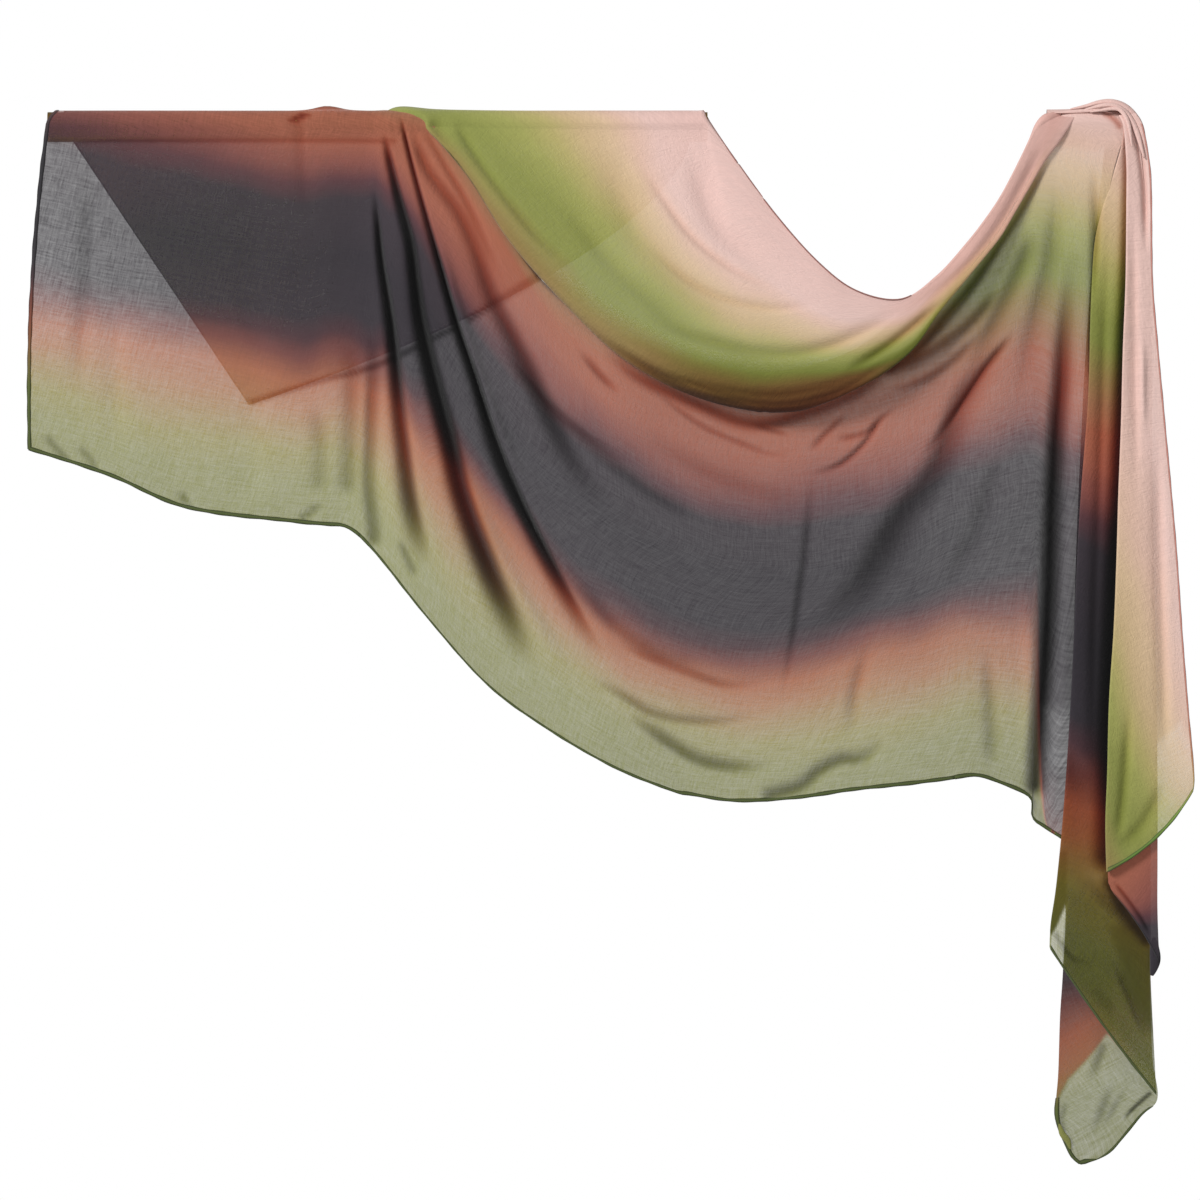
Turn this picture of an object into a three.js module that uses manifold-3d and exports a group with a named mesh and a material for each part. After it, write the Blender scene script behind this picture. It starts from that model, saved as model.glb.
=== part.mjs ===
// A long sheer hijab, 75 x 200 cm, draped over two level wall rails.
// Millimetres, +X to the right, +Z up, the viewer stands on the -Y side.
// The origin lies on the long rail's axis, at the middle of its length.
import * as THREE from "three";
import Module from "manifold-3d";

const wasm = await Module();
wasm.setup();
const { Manifold } = wasm;

// ---- Driving dimensions ----
const WALL = 1.2; // modelled thickness of the cloth
const HEM_WALL = 2.4; // thickness of the narrow rolled hem on free edges
const HEM_DEPTH = 4; // how far the rolled hem reaches in from the edge
const SEAM_GAP = 0.2; // each stretch stops this far short of the line it shares
const RAIL_RADIUS = 16;
const POST_RADIUS = 5;
const WALL_PLANE = 60; // the wall behind the rails, as a Y
const LONG_RAIL = { left: -350, right: 356, posts: [-343, 351] };
const SHORT_RAIL = { left: 722, right: 800, posts: [728] };
const ROUND_SIDES = 32;
const WRAP_STEPS = 4; // rows of cloth over a quarter of a rail

// ---- Tables: one row for each section, with named columns ----
// x0, z0 and y0 are the upper end of a section, x1, z1 and y1 its lower end.
// bow pushes the middle of the section sideways. On a rail, -y0 is the radius
// at which the cloth wraps it, more where it is bunched.
function table(columns, rows) {
  return rows.map((row) => Object.fromEntries(columns.map((name, i) => [name, row[i]])));
}

const SECTION = ["x0", "z0", "y0", "x1", "z1", "y1", "bow"];

// The front sheet, from the short end on the left to its far fold on the right.
const FRONT = table(SECTION, [
  [-351, 0, -17.5, -371, -345, -17, -4],
  [-273, 0, -17.5, -284, -373, -17, 0],
  [-187, 0, -17.5, -200, -408, -18, 0],
  [-80, 0, -19.5, -80, -423, -18, 0],
  [-30, 0, -18.5, -29, -429, -20, 0],
  [-10, 0, -17.5, 1, -456, -22, 0],
  [0, 0, -17.5, 59, -528, -27, -15],
  [9, 0, -18.5, 120, -596, -31, -21],
  [16, 0, -19.5, 182, -642, -33, -26],
  [23, 0, -19.5, 254, -684, -35, -21],
  [29, 0, -19.5, 318, -710, -36, -11],
  [102, -67, -26, 385, -721, -38, 0],
  [180, -172, -30, 449, -718, -40, 0],
  [264, -228, -32, 504, -710, -42, 0],
  [378, -264, -32, 540, -706, -42, 0],
  [450, -265, -32, 578, -702, -42, 0],
  [522, -239, -32, 610, -698, -40, 0],
  [588, -183, -30, 642, -694, -38, 0],
  [653, -137, -27, 669, -702, -34, 0],
  [696, -73, -22, 700, -717, -30, 0],
  [722, -19, -19, 703, -739, -27, 0],
  [744, 0, -18, 715, -749, -25, 0],
  [799, 0, -18, 730, -761, -24, 0],
]);

// The cowl: from the long rail and the free pink edge down to the rolled fold.
const COWL = table(SECTION, [
  [33, 0, -22, 38, -8, -24, 0],
  [54, 0, -22, 70, -41, -36, 0],
  [102, 0, -20, 112, -116, -50, 0],
  [155, 0, -17.5, 166, -179, -56, 0],
  [209, 0, -17.5, 241, -239, -60, 0],
  [262, 0, -17.5, 305, -275, -62, 0],
  [307, 0, -17.5, 361, -295, -62, 0],
  [352, 0, -17.5, 417, -305, -62, 0],
  [385, -35, -26, 455, -304, -62, 0],
  [428, -94, -38, 489, -296, -62, 0],
  [476, -144, -48, 523, -279, -62, 0],
  [517, -173, -52, 551, -260, -60, 0],
  [562, -181, -52, 578, -239, -58, 0],
  [599, -160, -48, 610, -213, -54, 0],
  [631, -128, -42, 645, -174, -50, 0],
  [653, -102, -37, 671, -142, -46, 0],
  [669, -78, -32, 688, -110, -42, 0],
  [685, -48, -29, 704, -76, -38, 0],
  [699, -19, -27, 719, -43, -34, 0],
  [706, -6, -25.5, 731, -20, -30, 0],
  [714, 3, -24, 743, -4, -25, 0],
]);

// The tails hang below the short rail. Here a section runs from the left edge
// (x0, z0) to the right edge (x1, z1), and the last row lies along the hem.
const TAIL = ["x0", "z0", "x1", "z1", "y", "bow"];

const FRONT_TAIL = table(TAIL, [
  [797, -1, 819, -1, -31, 0],
  [805, -78, 830, -78, -33, 0],
  [804, -164, 831, -164, -36, 0],
  [801, -240, 837, -240, -39, 0],
  [799, -317, 844, -317, -41, 0],
  [796, -393, 851, -393, -43, 0],
  [794, -463, 857, -463, -44, 0],
  [791, -537, 862, -537, -45, 0],
  [786, -614, 868, -614, -46, 0],
  [784, -690, 873, -669, -46, 0],
  [782, -744, 875, -696, -46, 4],
  [783, -795, 874, -709, -46, 10],
]);

const INNER_TAIL = table(TAIL, [
  [789, -1, 814, -1, -22.5, 0],
  [780, -78, 825, -78, -25, 0],
  [776, -174, 829, -174, -27, 0],
  [767, -292, 829, -292, -29, 0],
  [756, -421, 829, -421, -31, 0],
  [747, -592, 829, -592, -33, 0],
  [736, -720, 829, -720, -34, 0],
  [729, -806, 829, -806, -34, 0],
  [723, -866, 829, -913, -34, 0],
  [722, -878, 835, -1034, -34, 3],
]);

const MIDDLE_TAIL = table(TAIL, [
  [806, -1, 816, -1, -26.5, 0],
  [807, -164, 829, -164, -31, 0],
  [799, -393, 831, -393, -36, 0],
  [789, -613, 835, -613, -39, 0],
  [784, -720, 836, -720, -40, 0],
  [783, -797, 837, -784, -40, 0],
  [785, -811, 838, -843, -40, 0],
  [789, -819, 839, -900, -40, -3],
]);

const BACK_TAIL = table(TAIL, [
  [784, -1, 816, -1, 20, 0],
  [765, -185, 823, -185, 15, 0],
  [752, -421, 829, -421, 8, 0],
  [744, -667, 829, -667, 2, 0],
  [737, -827, 829, -827, -3, 0],
  [734, -905, 831, -905, -6, 0],
  [733, -951, 832, -951, -8, 0],
  [731, -1011, 834, -998, -10, 0],
  [728, -1057, 837, -1039, -12, 0],
  [736, -1082, 820, -1057, -12, 0],
  [744, -1100, 789, -1094, -12, 0],
  [754, -1109, 771, -1105, -12, 0],
]);

// The back flap is a flat right-angled corner of the cloth behind the rail.
// Its right-hand edge sags away from a straight line: round below 1 is fuller.
const FLAP = { left: -333, right: 340, cornerX: -135, cornerZ: -297, y: 17.5, round: 0.56 };

// The twist that crosses the short rail, as half ellipses set along the rail.
// turn is the angle in degrees at which it stops behind the rail, clear of the post.
const TWIST = table(["x", "top", "front", "back", "turn"], [
  [719, 19, 28.5, 19, 146],
  [735, 20.5, 29.5, 21, 148],
  [756, 21.5, 31, 23, 170],
  [769, 25, 34, 24, 174],
  [779, 28, 36, 24, 174],
  [788, 30, 36, 24, 174],
  [797, 27, 36, 24, 174],
  [806, 21, 36, 23, 174],
  [813, 14, 35, 21, 174],
  [820, 5, 33, 18, 174],
]);

const TWIST_FRONT = 6; // and the angle at which it stops in front of the rail

// Folds of the front sheet. at and wide count sections of FRONT, lean is how far
// the fold drifts to the right by the hem, start and end are parts of the way down.
const FOLD = ["at", "wide", "depth", "lean", "start", "end"];
const FRONT_FOLDS = table(FOLD, [
  [5.0, 0.28, 6, 0.0, 0.35, 1.0],
  [6.0, 0.3, 8, 0.0, 0.05, 0.95],
  [8.0, 0.35, 9, 0.0, 0.05, 0.95],
  [9.0, 0.3, 10, 0.1, 0.0, 0.9],
  [10.0, 0.35, 10, 0.0, 0.0, 0.75],
  [13.4, 0.35, 5, 0.5, 0.45, 0.95],
  [15.0, 0.4, 6, -0.5, 0.2, 0.8],
  [17.0, 0.4, 6, -1.2, 0.3, 1.0],
  [18.6, 0.3, 5, -0.9, 0.0, 0.5],
  [21.6, 0.22, 4, 0.2, 0.1, 0.9],
]);
// Pleats stand forward between the troughs by this much, at these sections.
const PLEAT_RISE = { first: 5, full: 7, fade: 11, last: 14, depth: 10 };

// Soft rolls inside the cowl, counted in sections of COWL. Depth above zero
// sinks the cloth and below zero brings it forward.
const COWL_FOLDS = table(FOLD, [
  [7.0, 0.8, 6, 2.5, 0.1, 0.8],
  [9.0, 0.9, -5, 1.0, 0.1, 0.9],
  [4.5, 0.8, 3, 2.0, 0.2, 0.9],
]);

const COLOURS = {
  rust: 0x9a6050,
  charcoal: 0x4a454a,
  clay: 0xa87462,
  green: 0x9aa068,
  pink: 0xd8b5aa,
  olive: 0x6b6540,
  sage: 0x9fa28a,
  brass: 0xb08a4e,
};

// ---- Cloth from sections ----

// Smooth value of every column at a place between two rows of a table.
function between(rows, place) {
  const index = Math.min(Math.floor(place), rows.length - 2);
  const f = place - index;
  const pick = (k) => rows[Math.min(Math.max(k, 0), rows.length - 1)];
  const [a, b, c, d] = [pick(index - 1), pick(index), pick(index + 1), pick(index + 2)];
  const result = {};
  for (const key of Object.keys(b)) {
    const inner = 2 * b[key] + (c[key] - a[key]) * f;
    const bend = (2 * a[key] - 5 * b[key] + 4 * c[key] - d[key]) * f * f;
    const twist = (3 * b[key] - a[key] - 3 * c[key] + d[key]) * f * f * f;
    result[key] = (inner + bend + twist) / 2;
  }
  return result;
}

// A smooth 0 to 1 step between two places.
function ramp(value, from, to) {
  const f = Math.min(Math.max((value - from) / (to - from), 0), 1);
  return f * f * (3 - 2 * f);
}

// How far the folds push the cloth back at one place on a stretch.
function foldDepth(folds, place, down) {
  let depth = 0;
  for (const fold of folds) {
    const away = (place - fold.at - fold.lean * (down - fold.start)) / fold.wide;
    const open = ramp(down, fold.start, fold.start + 0.18);
    const close = 1 - ramp(down, fold.end - 0.14, fold.end + 0.04);
    depth += fold.depth * Math.exp(-away * away) * open * close;
  }
  return depth;
}

// Points over a quarter of a rail, from its top to its side. y is the place of
// that side: below zero in front of the rail and above zero behind it.
function railWrap(x, y) {
  const points = [];
  for (let k = WRAP_STEPS; k >= 1; k -= 1) {
    const angle = (k / WRAP_STEPS) * (Math.PI / 2) * 0.96;
    points.push(new THREE.Vector3(x, y * Math.cos(angle), Math.abs(y) * Math.sin(angle)));
  }
  return points;
}

// The middle surface of a stretch: a grid of points, sections by steps down.
function drapeGrid(rows, { first, last, across, down, overRail, depthAt }) {
  const grid = [];
  for (let i = 0; i <= across; i += 1) {
    const place = first + ((last - first) * i) / across;
    const row = between(rows, place);
    const line = overRail ? railWrap(row.x0, row.y0) : [];
    const run = new THREE.Vector2(row.x1 - row.x0, row.z1 - row.z0);
    const side = new THREE.Vector2(-run.y, run.x).normalize();
    for (let j = 0; j <= down; j += 1) {
      const t = j / down;
      const swell = 4 * t * (1 - t) * row.bow;
      line.push(new THREE.Vector3(
        row.x0 + run.x * t + side.x * swell,
        row.y0 + (row.y1 - row.y0) * Math.sin((Math.PI / 2) * t) + depthAt(place, t),
        row.z0 + run.y * t + side.y * swell,
      ));
    }
    grid.push(line);
  }
  return grid;
}

// The middle surface of a tail: the sections run from edge to edge.
function tailGrid(rows, { levels, across }) {
  const grid = [];
  for (let i = 0; i <= levels; i += 1) {
    const row = between(rows, ((rows.length - 1) * i) / levels);
    const run = new THREE.Vector2(row.x1 - row.x0, row.z1 - row.z0);
    const side = new THREE.Vector2(run.y, -run.x).normalize();
    const line = [];
    for (let j = 0; j <= across; j += 1) {
      const t = j / across;
      const swell = 4 * t * (1 - t) * row.bow;
      line.push(new THREE.Vector3(
        row.x0 + run.x * t + side.x * swell,
        row.y,
        row.z0 + run.y * t + side.y * swell,
      ));
    }
    grid.push(line);
  }
  return grid;
}

// Pulls the first and last sections in, so that two stretches leave a seam gap.
function leaveSeams(grid) {
  const last = grid.length - 1;
  for (const [edge, inner] of [[0, 1], [last, last - 1]]) {
    grid[edge].forEach((point, j) => {
      const inward = grid[inner][j].clone().sub(point).normalize();
      point.addScaledVector(inward, SEAM_GAP);
    });
  }
  return grid;
}

// Adds one line of points close to an edge, so that the hem has its own depth.
function hemLine(line) {
  const end = line[line.length - 1];
  const before = line[line.length - 2];
  const share = Math.min(HEM_DEPTH / end.distanceTo(before), 0.5);
  const inner = end.clone().lerp(before, share);
  return [...line.slice(0, -1), inner, end];
}

// Turns a grid into a closed wall. hemmed says whether its last line is a hem.
function wallShell(grid, hemmed) {
  const across = grid.length;
  const down = grid[0].length;
  const at = (i, j) => grid[Math.min(Math.max(i, 0), across - 1)][Math.min(Math.max(j, 0), down - 1)];
  const edgeWay = new THREE.Vector3(Math.sign(at(across, 0).x - at(0, 0).x), 0, 0);
  const positions = [];
  for (const face of [1, -1]) {
    for (let i = 0; i < across; i += 1) {
      for (let j = 0; j < down; j += 1) {
        const onEdge = i === 0 || i === across - 1;
        const alongRows = onEdge ? edgeWay.clone() : at(i + 1, j).clone().sub(at(i - 1, j));
        const alongLine = at(i, j + 1).clone().sub(at(i, j - 1));
        const normal = alongRows.cross(alongLine).normalize();
        const thick = hemmed && j >= down - 2 ? HEM_WALL : WALL;
        const point = at(i, j).clone().addScaledVector(normal, (face * thick) / 2);
        positions.push(point.x, point.y, point.z);
      }
    }
  }
  const front = (i, j) => i * down + j;
  const back = (i, j) => across * down + i * down + j;
  const faces = [];
  const quad = (a, b, c, d) => faces.push(a, b, c, a, c, d);
  for (let i = 0; i < across - 1; i += 1) {
    for (let j = 0; j < down - 1; j += 1) {
      quad(front(i, j), front(i + 1, j), front(i + 1, j + 1), front(i, j + 1));
      quad(back(i, j), back(i, j + 1), back(i + 1, j + 1), back(i + 1, j));
    }
  }
  for (let i = 0; i < across - 1; i += 1) {
    quad(front(i, 0), back(i, 0), back(i + 1, 0), front(i + 1, 0));
    quad(front(i + 1, down - 1), back(i + 1, down - 1), back(i, down - 1), front(i, down - 1));
  }
  for (let j = 0; j < down - 1; j += 1) {
    quad(front(0, j + 1), back(0, j + 1), back(0, j), front(0, j));
    quad(front(across - 1, j), back(across - 1, j), back(across - 1, j + 1), front(across - 1, j + 1));
  }
  const geometry = new THREE.BufferGeometry();
  geometry.setAttribute("position", new THREE.Float32BufferAttribute(positions, 3));
  geometry.setIndex(faces);
  geometry.computeVertexNormals();
  return geometry;
}

function meshOf(name, geometry, colour, roughness = 0.9, metalness = 0) {
  const material = new THREE.MeshStandardMaterial({ color: colour, roughness, metalness });
  const mesh = new THREE.Mesh(geometry, material);
  mesh.name = name;
  return mesh;
}

// ---- The stretches of cloth ----

function frontDepth(place, down) {
  const rise = ramp(place, PLEAT_RISE.first, PLEAT_RISE.full)
    * (1 - ramp(place, PLEAT_RISE.fade, PLEAT_RISE.last));
  return foldDepth(FRONT_FOLDS, place, down) - rise * PLEAT_RISE.depth * ramp(down, 0, 0.25);
}

function frontStretch(name, first, last, across, down, overRail, colour) {
  const depthAt = frontDepth;
  const grid = leaveSeams(drapeGrid(FRONT, { first, last, across, down, overRail, depthAt }));
  return meshOf(name, wallShell(grid.map(hemLine), true), colour);
}

function cowlStretch(name, first, last, across, down, overRail, colour) {
  const depthAt = (place, t) => foldDepth(COWL_FOLDS, place, t);
  const grid = leaveSeams(drapeGrid(COWL, { first, last, across, down, overRail, depthAt }));
  return meshOf(name, wallShell(grid, false), colour);
}

function tailStretch(name, rows, levels, across, colour) {
  const grid = tailGrid(rows, { levels, across });
  const turned = grid[0].map((_, j) => grid.map((line) => line[j]));
  return meshOf(name, wallShell(turned.map(hemLine), true), colour);
}

// The flap runs from the rail to its two free edges, which meet at the corner.
function backFlap() {
  const steps = 26;
  const down = 6;
  const grid = [];
  for (let i = 0; i <= steps; i += 1) {
    const x = FLAP.left + ((FLAP.right - FLAP.left) * i) / steps;
    const leftEdge = (x - FLAP.left) / (FLAP.cornerX - FLAP.left);
    const rightEdge = ((FLAP.right - x) / (FLAP.right - FLAP.cornerX)) ** FLAP.round;
    const foot = Math.min(FLAP.cornerZ * Math.min(leftEdge, rightEdge), -6);
    const line = railWrap(x, FLAP.y);
    for (let j = 0; j <= down; j += 1) {
      line.push(new THREE.Vector3(x, FLAP.y, (foot * j) / down));
    }
    grid.push(line);
  }
  grid.reverse();
  return meshOf("back_flap", wallShell(grid.map(hemLine), true), COLOURS.rust);
}

// The twist lies over the short rail from front to back as one soft arch.
function railTwist() {
  const across = 14;
  const steps = 10;
  const grid = [];
  for (let i = 0; i <= across; i += 1) {
    const row = between(TWIST, ((TWIST.length - 1) * i) / across);
    const line = [];
    for (let j = 0; j <= steps; j += 1) {
      const angle = THREE.MathUtils.degToRad(row.turn + ((TWIST_FRONT - row.turn) * j) / steps);
      const reach = Math.cos(angle) > 0 ? row.front : row.back;
      line.push(new THREE.Vector3(row.x, -reach * Math.cos(angle), row.top * Math.sin(angle)));
    }
    grid.push(line);
  }
  return meshOf("rail_twist", wallShell(grid, false), COLOURS.pink);
}

// ---- The rails ----

function toGeometry(solid) {
  const mesh = solid.getMesh();
  const geometry = new THREE.BufferGeometry();
  geometry.setAttribute("position", new THREE.Float32BufferAttribute(mesh.vertProperties, 3));
  geometry.setIndex(new THREE.Uint32BufferAttribute(mesh.triVerts, 1));
  geometry.computeVertexNormals();
  return geometry;
}

// A round bar with its posts, each of which ends flat on the wall.
function wallRail(name, { left, right, posts }) {
  const length = right - left;
  const bar = Manifold.cylinder(length, RAIL_RADIUS, RAIL_RADIUS, ROUND_SIDES, true)
    .rotate([0, 90, 0])
    .translate([(left + right) / 2, 0, 0]);
  const arms = posts.map((x) => Manifold.cylinder(WALL_PLANE, POST_RADIUS, POST_RADIUS, ROUND_SIDES / 2)
    .rotate([-90, 0, 0])
    .translate([x, 0, 0]));
  return meshOf(name, toGeometry(Manifold.union([bar, ...arms])), COLOURS.brass, 0.35, 0.9);
}

// ---- The whole object ----
const hijab = new THREE.Group();
hijab.add(
  wallRail("long_rail", LONG_RAIL),
  wallRail("short_rail", SHORT_RAIL),
  backFlap(),
  frontStretch("left_panel", 0, 5, 12, 7, true, COLOURS.charcoal),
  frontStretch("pleat_fan", 5, 10, 24, 12, true, COLOURS.clay),
  frontStretch("swag_panel", 10, 16, 18, 11, false, COLOURS.charcoal),
  frontStretch("right_panel", 16, 22, 18, 11, false, COLOURS.sage),
  cowlStretch("cowl_on_rail", 0, 7, 14, 7, true, COLOURS.green),
  cowlStretch("cowl_drop", 7, 12, 10, 6, false, COLOURS.pink),
  cowlStretch("shoulder_roll", 12, 20, 14, 3, false, COLOURS.green),
  railTwist(),
  tailStretch("inner_tail", INNER_TAIL, 18, 4, COLOURS.olive),
  tailStretch("middle_tail", MIDDLE_TAIL, 12, 3, COLOURS.clay),
  tailStretch("front_tail", FRONT_TAIL, 16, 4, COLOURS.pink),
  tailStretch("back_tail", BACK_TAIL, 18, 4, COLOURS.sage),
);

export default hijab;
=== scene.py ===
"""An ombre hijab draped over two wall rails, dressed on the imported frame."""

from __future__ import annotations

import logging
import math
from dataclasses import dataclass
from enum import Enum

import bpy
import numpy as np
from mathutils import Matrix, Vector


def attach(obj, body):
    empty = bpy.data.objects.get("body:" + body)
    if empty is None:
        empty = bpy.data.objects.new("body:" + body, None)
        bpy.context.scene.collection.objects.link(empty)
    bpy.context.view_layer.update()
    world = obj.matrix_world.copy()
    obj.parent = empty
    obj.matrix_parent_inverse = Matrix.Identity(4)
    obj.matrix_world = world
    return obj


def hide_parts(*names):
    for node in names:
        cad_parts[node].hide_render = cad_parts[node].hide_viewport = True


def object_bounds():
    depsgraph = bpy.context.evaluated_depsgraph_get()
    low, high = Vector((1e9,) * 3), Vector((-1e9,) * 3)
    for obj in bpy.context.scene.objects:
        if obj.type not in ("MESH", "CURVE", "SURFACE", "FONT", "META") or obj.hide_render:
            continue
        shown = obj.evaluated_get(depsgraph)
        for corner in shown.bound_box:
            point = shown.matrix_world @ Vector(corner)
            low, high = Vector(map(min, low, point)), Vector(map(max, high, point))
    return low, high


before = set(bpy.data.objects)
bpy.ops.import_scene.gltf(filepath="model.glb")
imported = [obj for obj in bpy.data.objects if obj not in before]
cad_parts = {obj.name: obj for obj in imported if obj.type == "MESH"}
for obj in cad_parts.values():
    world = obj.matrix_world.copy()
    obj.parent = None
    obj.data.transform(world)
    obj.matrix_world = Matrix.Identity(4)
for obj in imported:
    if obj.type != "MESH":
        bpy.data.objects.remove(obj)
CAD_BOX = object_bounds()

log = logging.getLogger("hijab")
Socket = bpy.types.NodeSocket

MM = 0.001
CUT_WIDTH = 750.0  # mm, the hijab's width as cut
CLOTH_THICKNESS = 0.5  # mm
CHARCOAL_START = 386.0  # mm from the pink edge
CHARCOAL_END = 562.0
SAGE_START = 575.0  # where the cloth starts to thin towards the sage border
SAGE_END = 670.0
SAGE_COVER = 0.85  # how much of the light the sage border stops
RAIL_REST = 17.5  # mm from a rail's axis to the cloth that lies on it
OVER_RAIL = 0.96 * math.pi / 2  # how far round a rail's top each stretch goes
BACKWARD = np.array([0.0, 1.0, 0.0])
BODY = "root"


# ---------------------------------------------------------------- small maths


def ramp(value: np.ndarray | float, start: float, end: float) -> np.ndarray:
    """Rise smoothly from 0 at start to 1 at end.

    Args:
        value: Where to read the rise.
        start: The place where it leaves 0.
        end: The place where it reaches 1.

    Returns:
        The rise at each value.
    """
    share = np.clip((np.asarray(value, float) - start) / (end - start), 0.0, 1.0)
    return share * share * (3.0 - 2.0 * share)


def smooth_rows(rows: np.ndarray, places: np.ndarray) -> np.ndarray:
    """Read a table between its rows along a smooth curve through each column.

    Args:
        rows: One row of numbers for each section.
        places: Row numbers, with fractions between two rows.

    Returns:
        One row of numbers for each place.
    """
    last = len(rows) - 1
    index = np.clip(np.floor(places).astype(int), 0, last - 1)
    f = (places - index)[:, None]
    a, b, c, d = (rows[np.clip(index + k, 0, last)] for k in (-1, 0, 1, 2))
    bend = (2 * a - 5 * b + 4 * c - d) * f**2 + (3 * b - a - 3 * c + d) * f**3
    return (2 * b + (c - a) * f + bend) / 2


def table(items: tuple) -> np.ndarray:
    """Put the fields of sections, levels or arches into rows of numbers."""
    return np.array([list(vars(item).values()) for item in items])


def distances(line: np.ndarray) -> np.ndarray:
    """Measure how far along a line each of its points lies."""
    return np.concatenate([[0.0], np.cumsum(np.linalg.norm(np.diff(line, axis=0), axis=1))])


def read_line(at: np.ndarray, run: np.ndarray, rows: np.ndarray) -> np.ndarray:
    """Read every column of a line's rows at some distances along it."""
    return np.stack([np.interp(at, run, column) for column in rows.T], axis=1)


def smooth_line(points: np.ndarray, count: int) -> np.ndarray:
    """Draw an evenly spaced smooth line through a few points.

    Args:
        points: The points, in order, one in each row.
        count: How many points to give back.

    Returns:
        The smooth line's points.
    """
    rows = np.asarray(points, float)
    dense = smooth_rows(rows, np.linspace(0, len(rows) - 1, 12 * len(rows)))
    run = distances(dense)
    return read_line(np.linspace(0, run[-1], count), run, dense)


def unit(vectors: np.ndarray) -> np.ndarray:
    """Scale vectors to length one."""
    return vectors / np.maximum(np.linalg.norm(vectors, axis=-1, keepdims=True), 1e-12)


# ------------------------------------------------------------------- drapery


@dataclass(frozen=True)
class Section:
    """One section of draped cloth from its upper end to its lower end, in mm.

    x0, z0 and y0 are the upper end and x1, z1 and y1 the lower one; bow pushes
    its middle sideways. v0 and v1 are the distances of both ends from the pink
    long edge across the cut. dark and clay are the parts of the way down at
    which the charcoal stripe starts and ends, where the section crosses it.
    cover is how much of the light the cloth stops. turn is the radius over
    which the upper end goes on to the back: over a rail, or in a fold. ease
    above 1 keeps the places across the cut near v0 for longer on the way down.
    """

    x0: float
    z0: float
    y0: float
    x1: float
    z1: float
    y1: float
    bow: float = 0.0
    v0: float = 0.0
    v1: float = CUT_WIDTH
    dark: float = 0.0
    clay: float = 0.0
    cover: float = 0.94
    turn: float = 0.2
    ease: float = 1.0


@dataclass(frozen=True)
class Crease:
    """A trough or ridge drawn on the cloth as seen from the front, in mm.

    path is x and z of each of its points in turn. depth above zero sinks the
    cloth and below zero raises it. wide is its half width on the right of its
    direction, and steep narrows the left. The fourth field deepens the dye
    inside it: partly where the cloth lies on itself, and partly as painted
    shade in the trough. fade gives the parts of its length over which it
    starts and dies out, and spread scales its width at its start and its end,
    and its depth too where it is below 1.
    """

    path: tuple[float, ...]
    depth: float
    wide: float
    layers: float = 0.0
    steep: float = 1.0
    fade: tuple[float, float] = (0.3, 0.3)
    spread: tuple[float, float] = (1.0, 1.0)

    def share(self, x: np.ndarray, z: np.ndarray) -> np.ndarray:
        """Work out how much of the crease each point takes.

        Args:
            x: The points' places to the right, in mm.
            z: Their heights, in mm.

        Returns:
            1 along the middle of the crease, and less beside it.
        """
        points = np.reshape(self.path, (-1, 2))
        line = smooth_line(points, 7 * len(points))
        reach = 2.6 * self.wide * max(self.spread)
        low, high = line.min(axis=0) - reach, line.max(axis=0) + reach
        near = (x > low[0]) & (x < high[0]) & (z > low[1]) & (z < high[1])
        taken = np.zeros(x.shape)
        if not near.any():
            return taken
        point = np.stack([x[near], z[near]], axis=1)
        best = np.full(len(point), 1e9)
        signed = np.zeros(len(point))
        along = np.zeros(len(point))
        for k in range(len(line) - 1):
            a, run = line[k], line[k + 1] - line[k]
            share = np.clip(((point - a) @ run) / (run @ run), 0.0, 1.0)
            gap = point - a - share[:, None] * run
            away = np.hypot(gap[:, 0], gap[:, 1])
            closer = away < best
            side = np.sign(run[0] * gap[:, 1] - run[1] * gap[:, 0])
            best = np.where(closer, away, best)
            signed = np.where(closer, side * away, signed)
            along = np.where(closer, (k + share) / (len(line) - 1), along)
        scale = self.spread[0] + (self.spread[1] - self.spread[0]) * along
        width = np.where(signed > 0, self.wide / self.steep, self.wide) * scale
        strength = ramp(along, -0.001, self.fade[0]) * (1 - ramp(along, 1 - self.fade[1], 1.001))
        taken[near] = np.exp(-((best / width) ** 2)) * strength * np.minimum(scale, 1.0)
        return taken


@dataclass(frozen=True)
class Veil:
    """A region of cloth, seen from the front, that is thinner, or has more layers or painted shade.

    outline is x and z in mm of each corner of the region in turn. soft is how
    far its edge fades, and tuck how much of the cloth's width is folded away
    inside it.
    """

    outline: tuple[float, ...]
    cover: float
    layers: float = 0.0
    soft: float = 5.0
    tuck: float = 0.0

    def inside(self, x: np.ndarray, z: np.ndarray) -> np.ndarray:
        """Work out how far inside each point is.

        Args:
            x: The points' places to the right, in mm.
            z: Their heights, in mm.

        Returns:
            1 well inside, 0 well outside and between them near the outline.
        """
        odd = np.zeros(x.shape, dtype=bool)
        near = np.full(x.shape, 1e9)
        corners = list(zip(self.outline[::2], self.outline[1::2]))
        for (x0, z0), (x1, z1) in zip(corners, corners[1:] + corners[:1]):
            if z0 != z1:
                odd ^= ((z0 > z) != (z1 > z)) & (x < x0 + (z - z0) * (x1 - x0) / (z1 - z0))
            dx, dz = x1 - x0, z1 - z0
            share = np.clip(((x - x0) * dx + (z - z0) * dz) / (dx**2 + dz**2), 0, 1)
            near = np.minimum(near, np.hypot(x - x0 - share * dx, z - z0 - share * dz))
        return ramp(np.where(odd, near, -near), -self.soft, self.soft)


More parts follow.
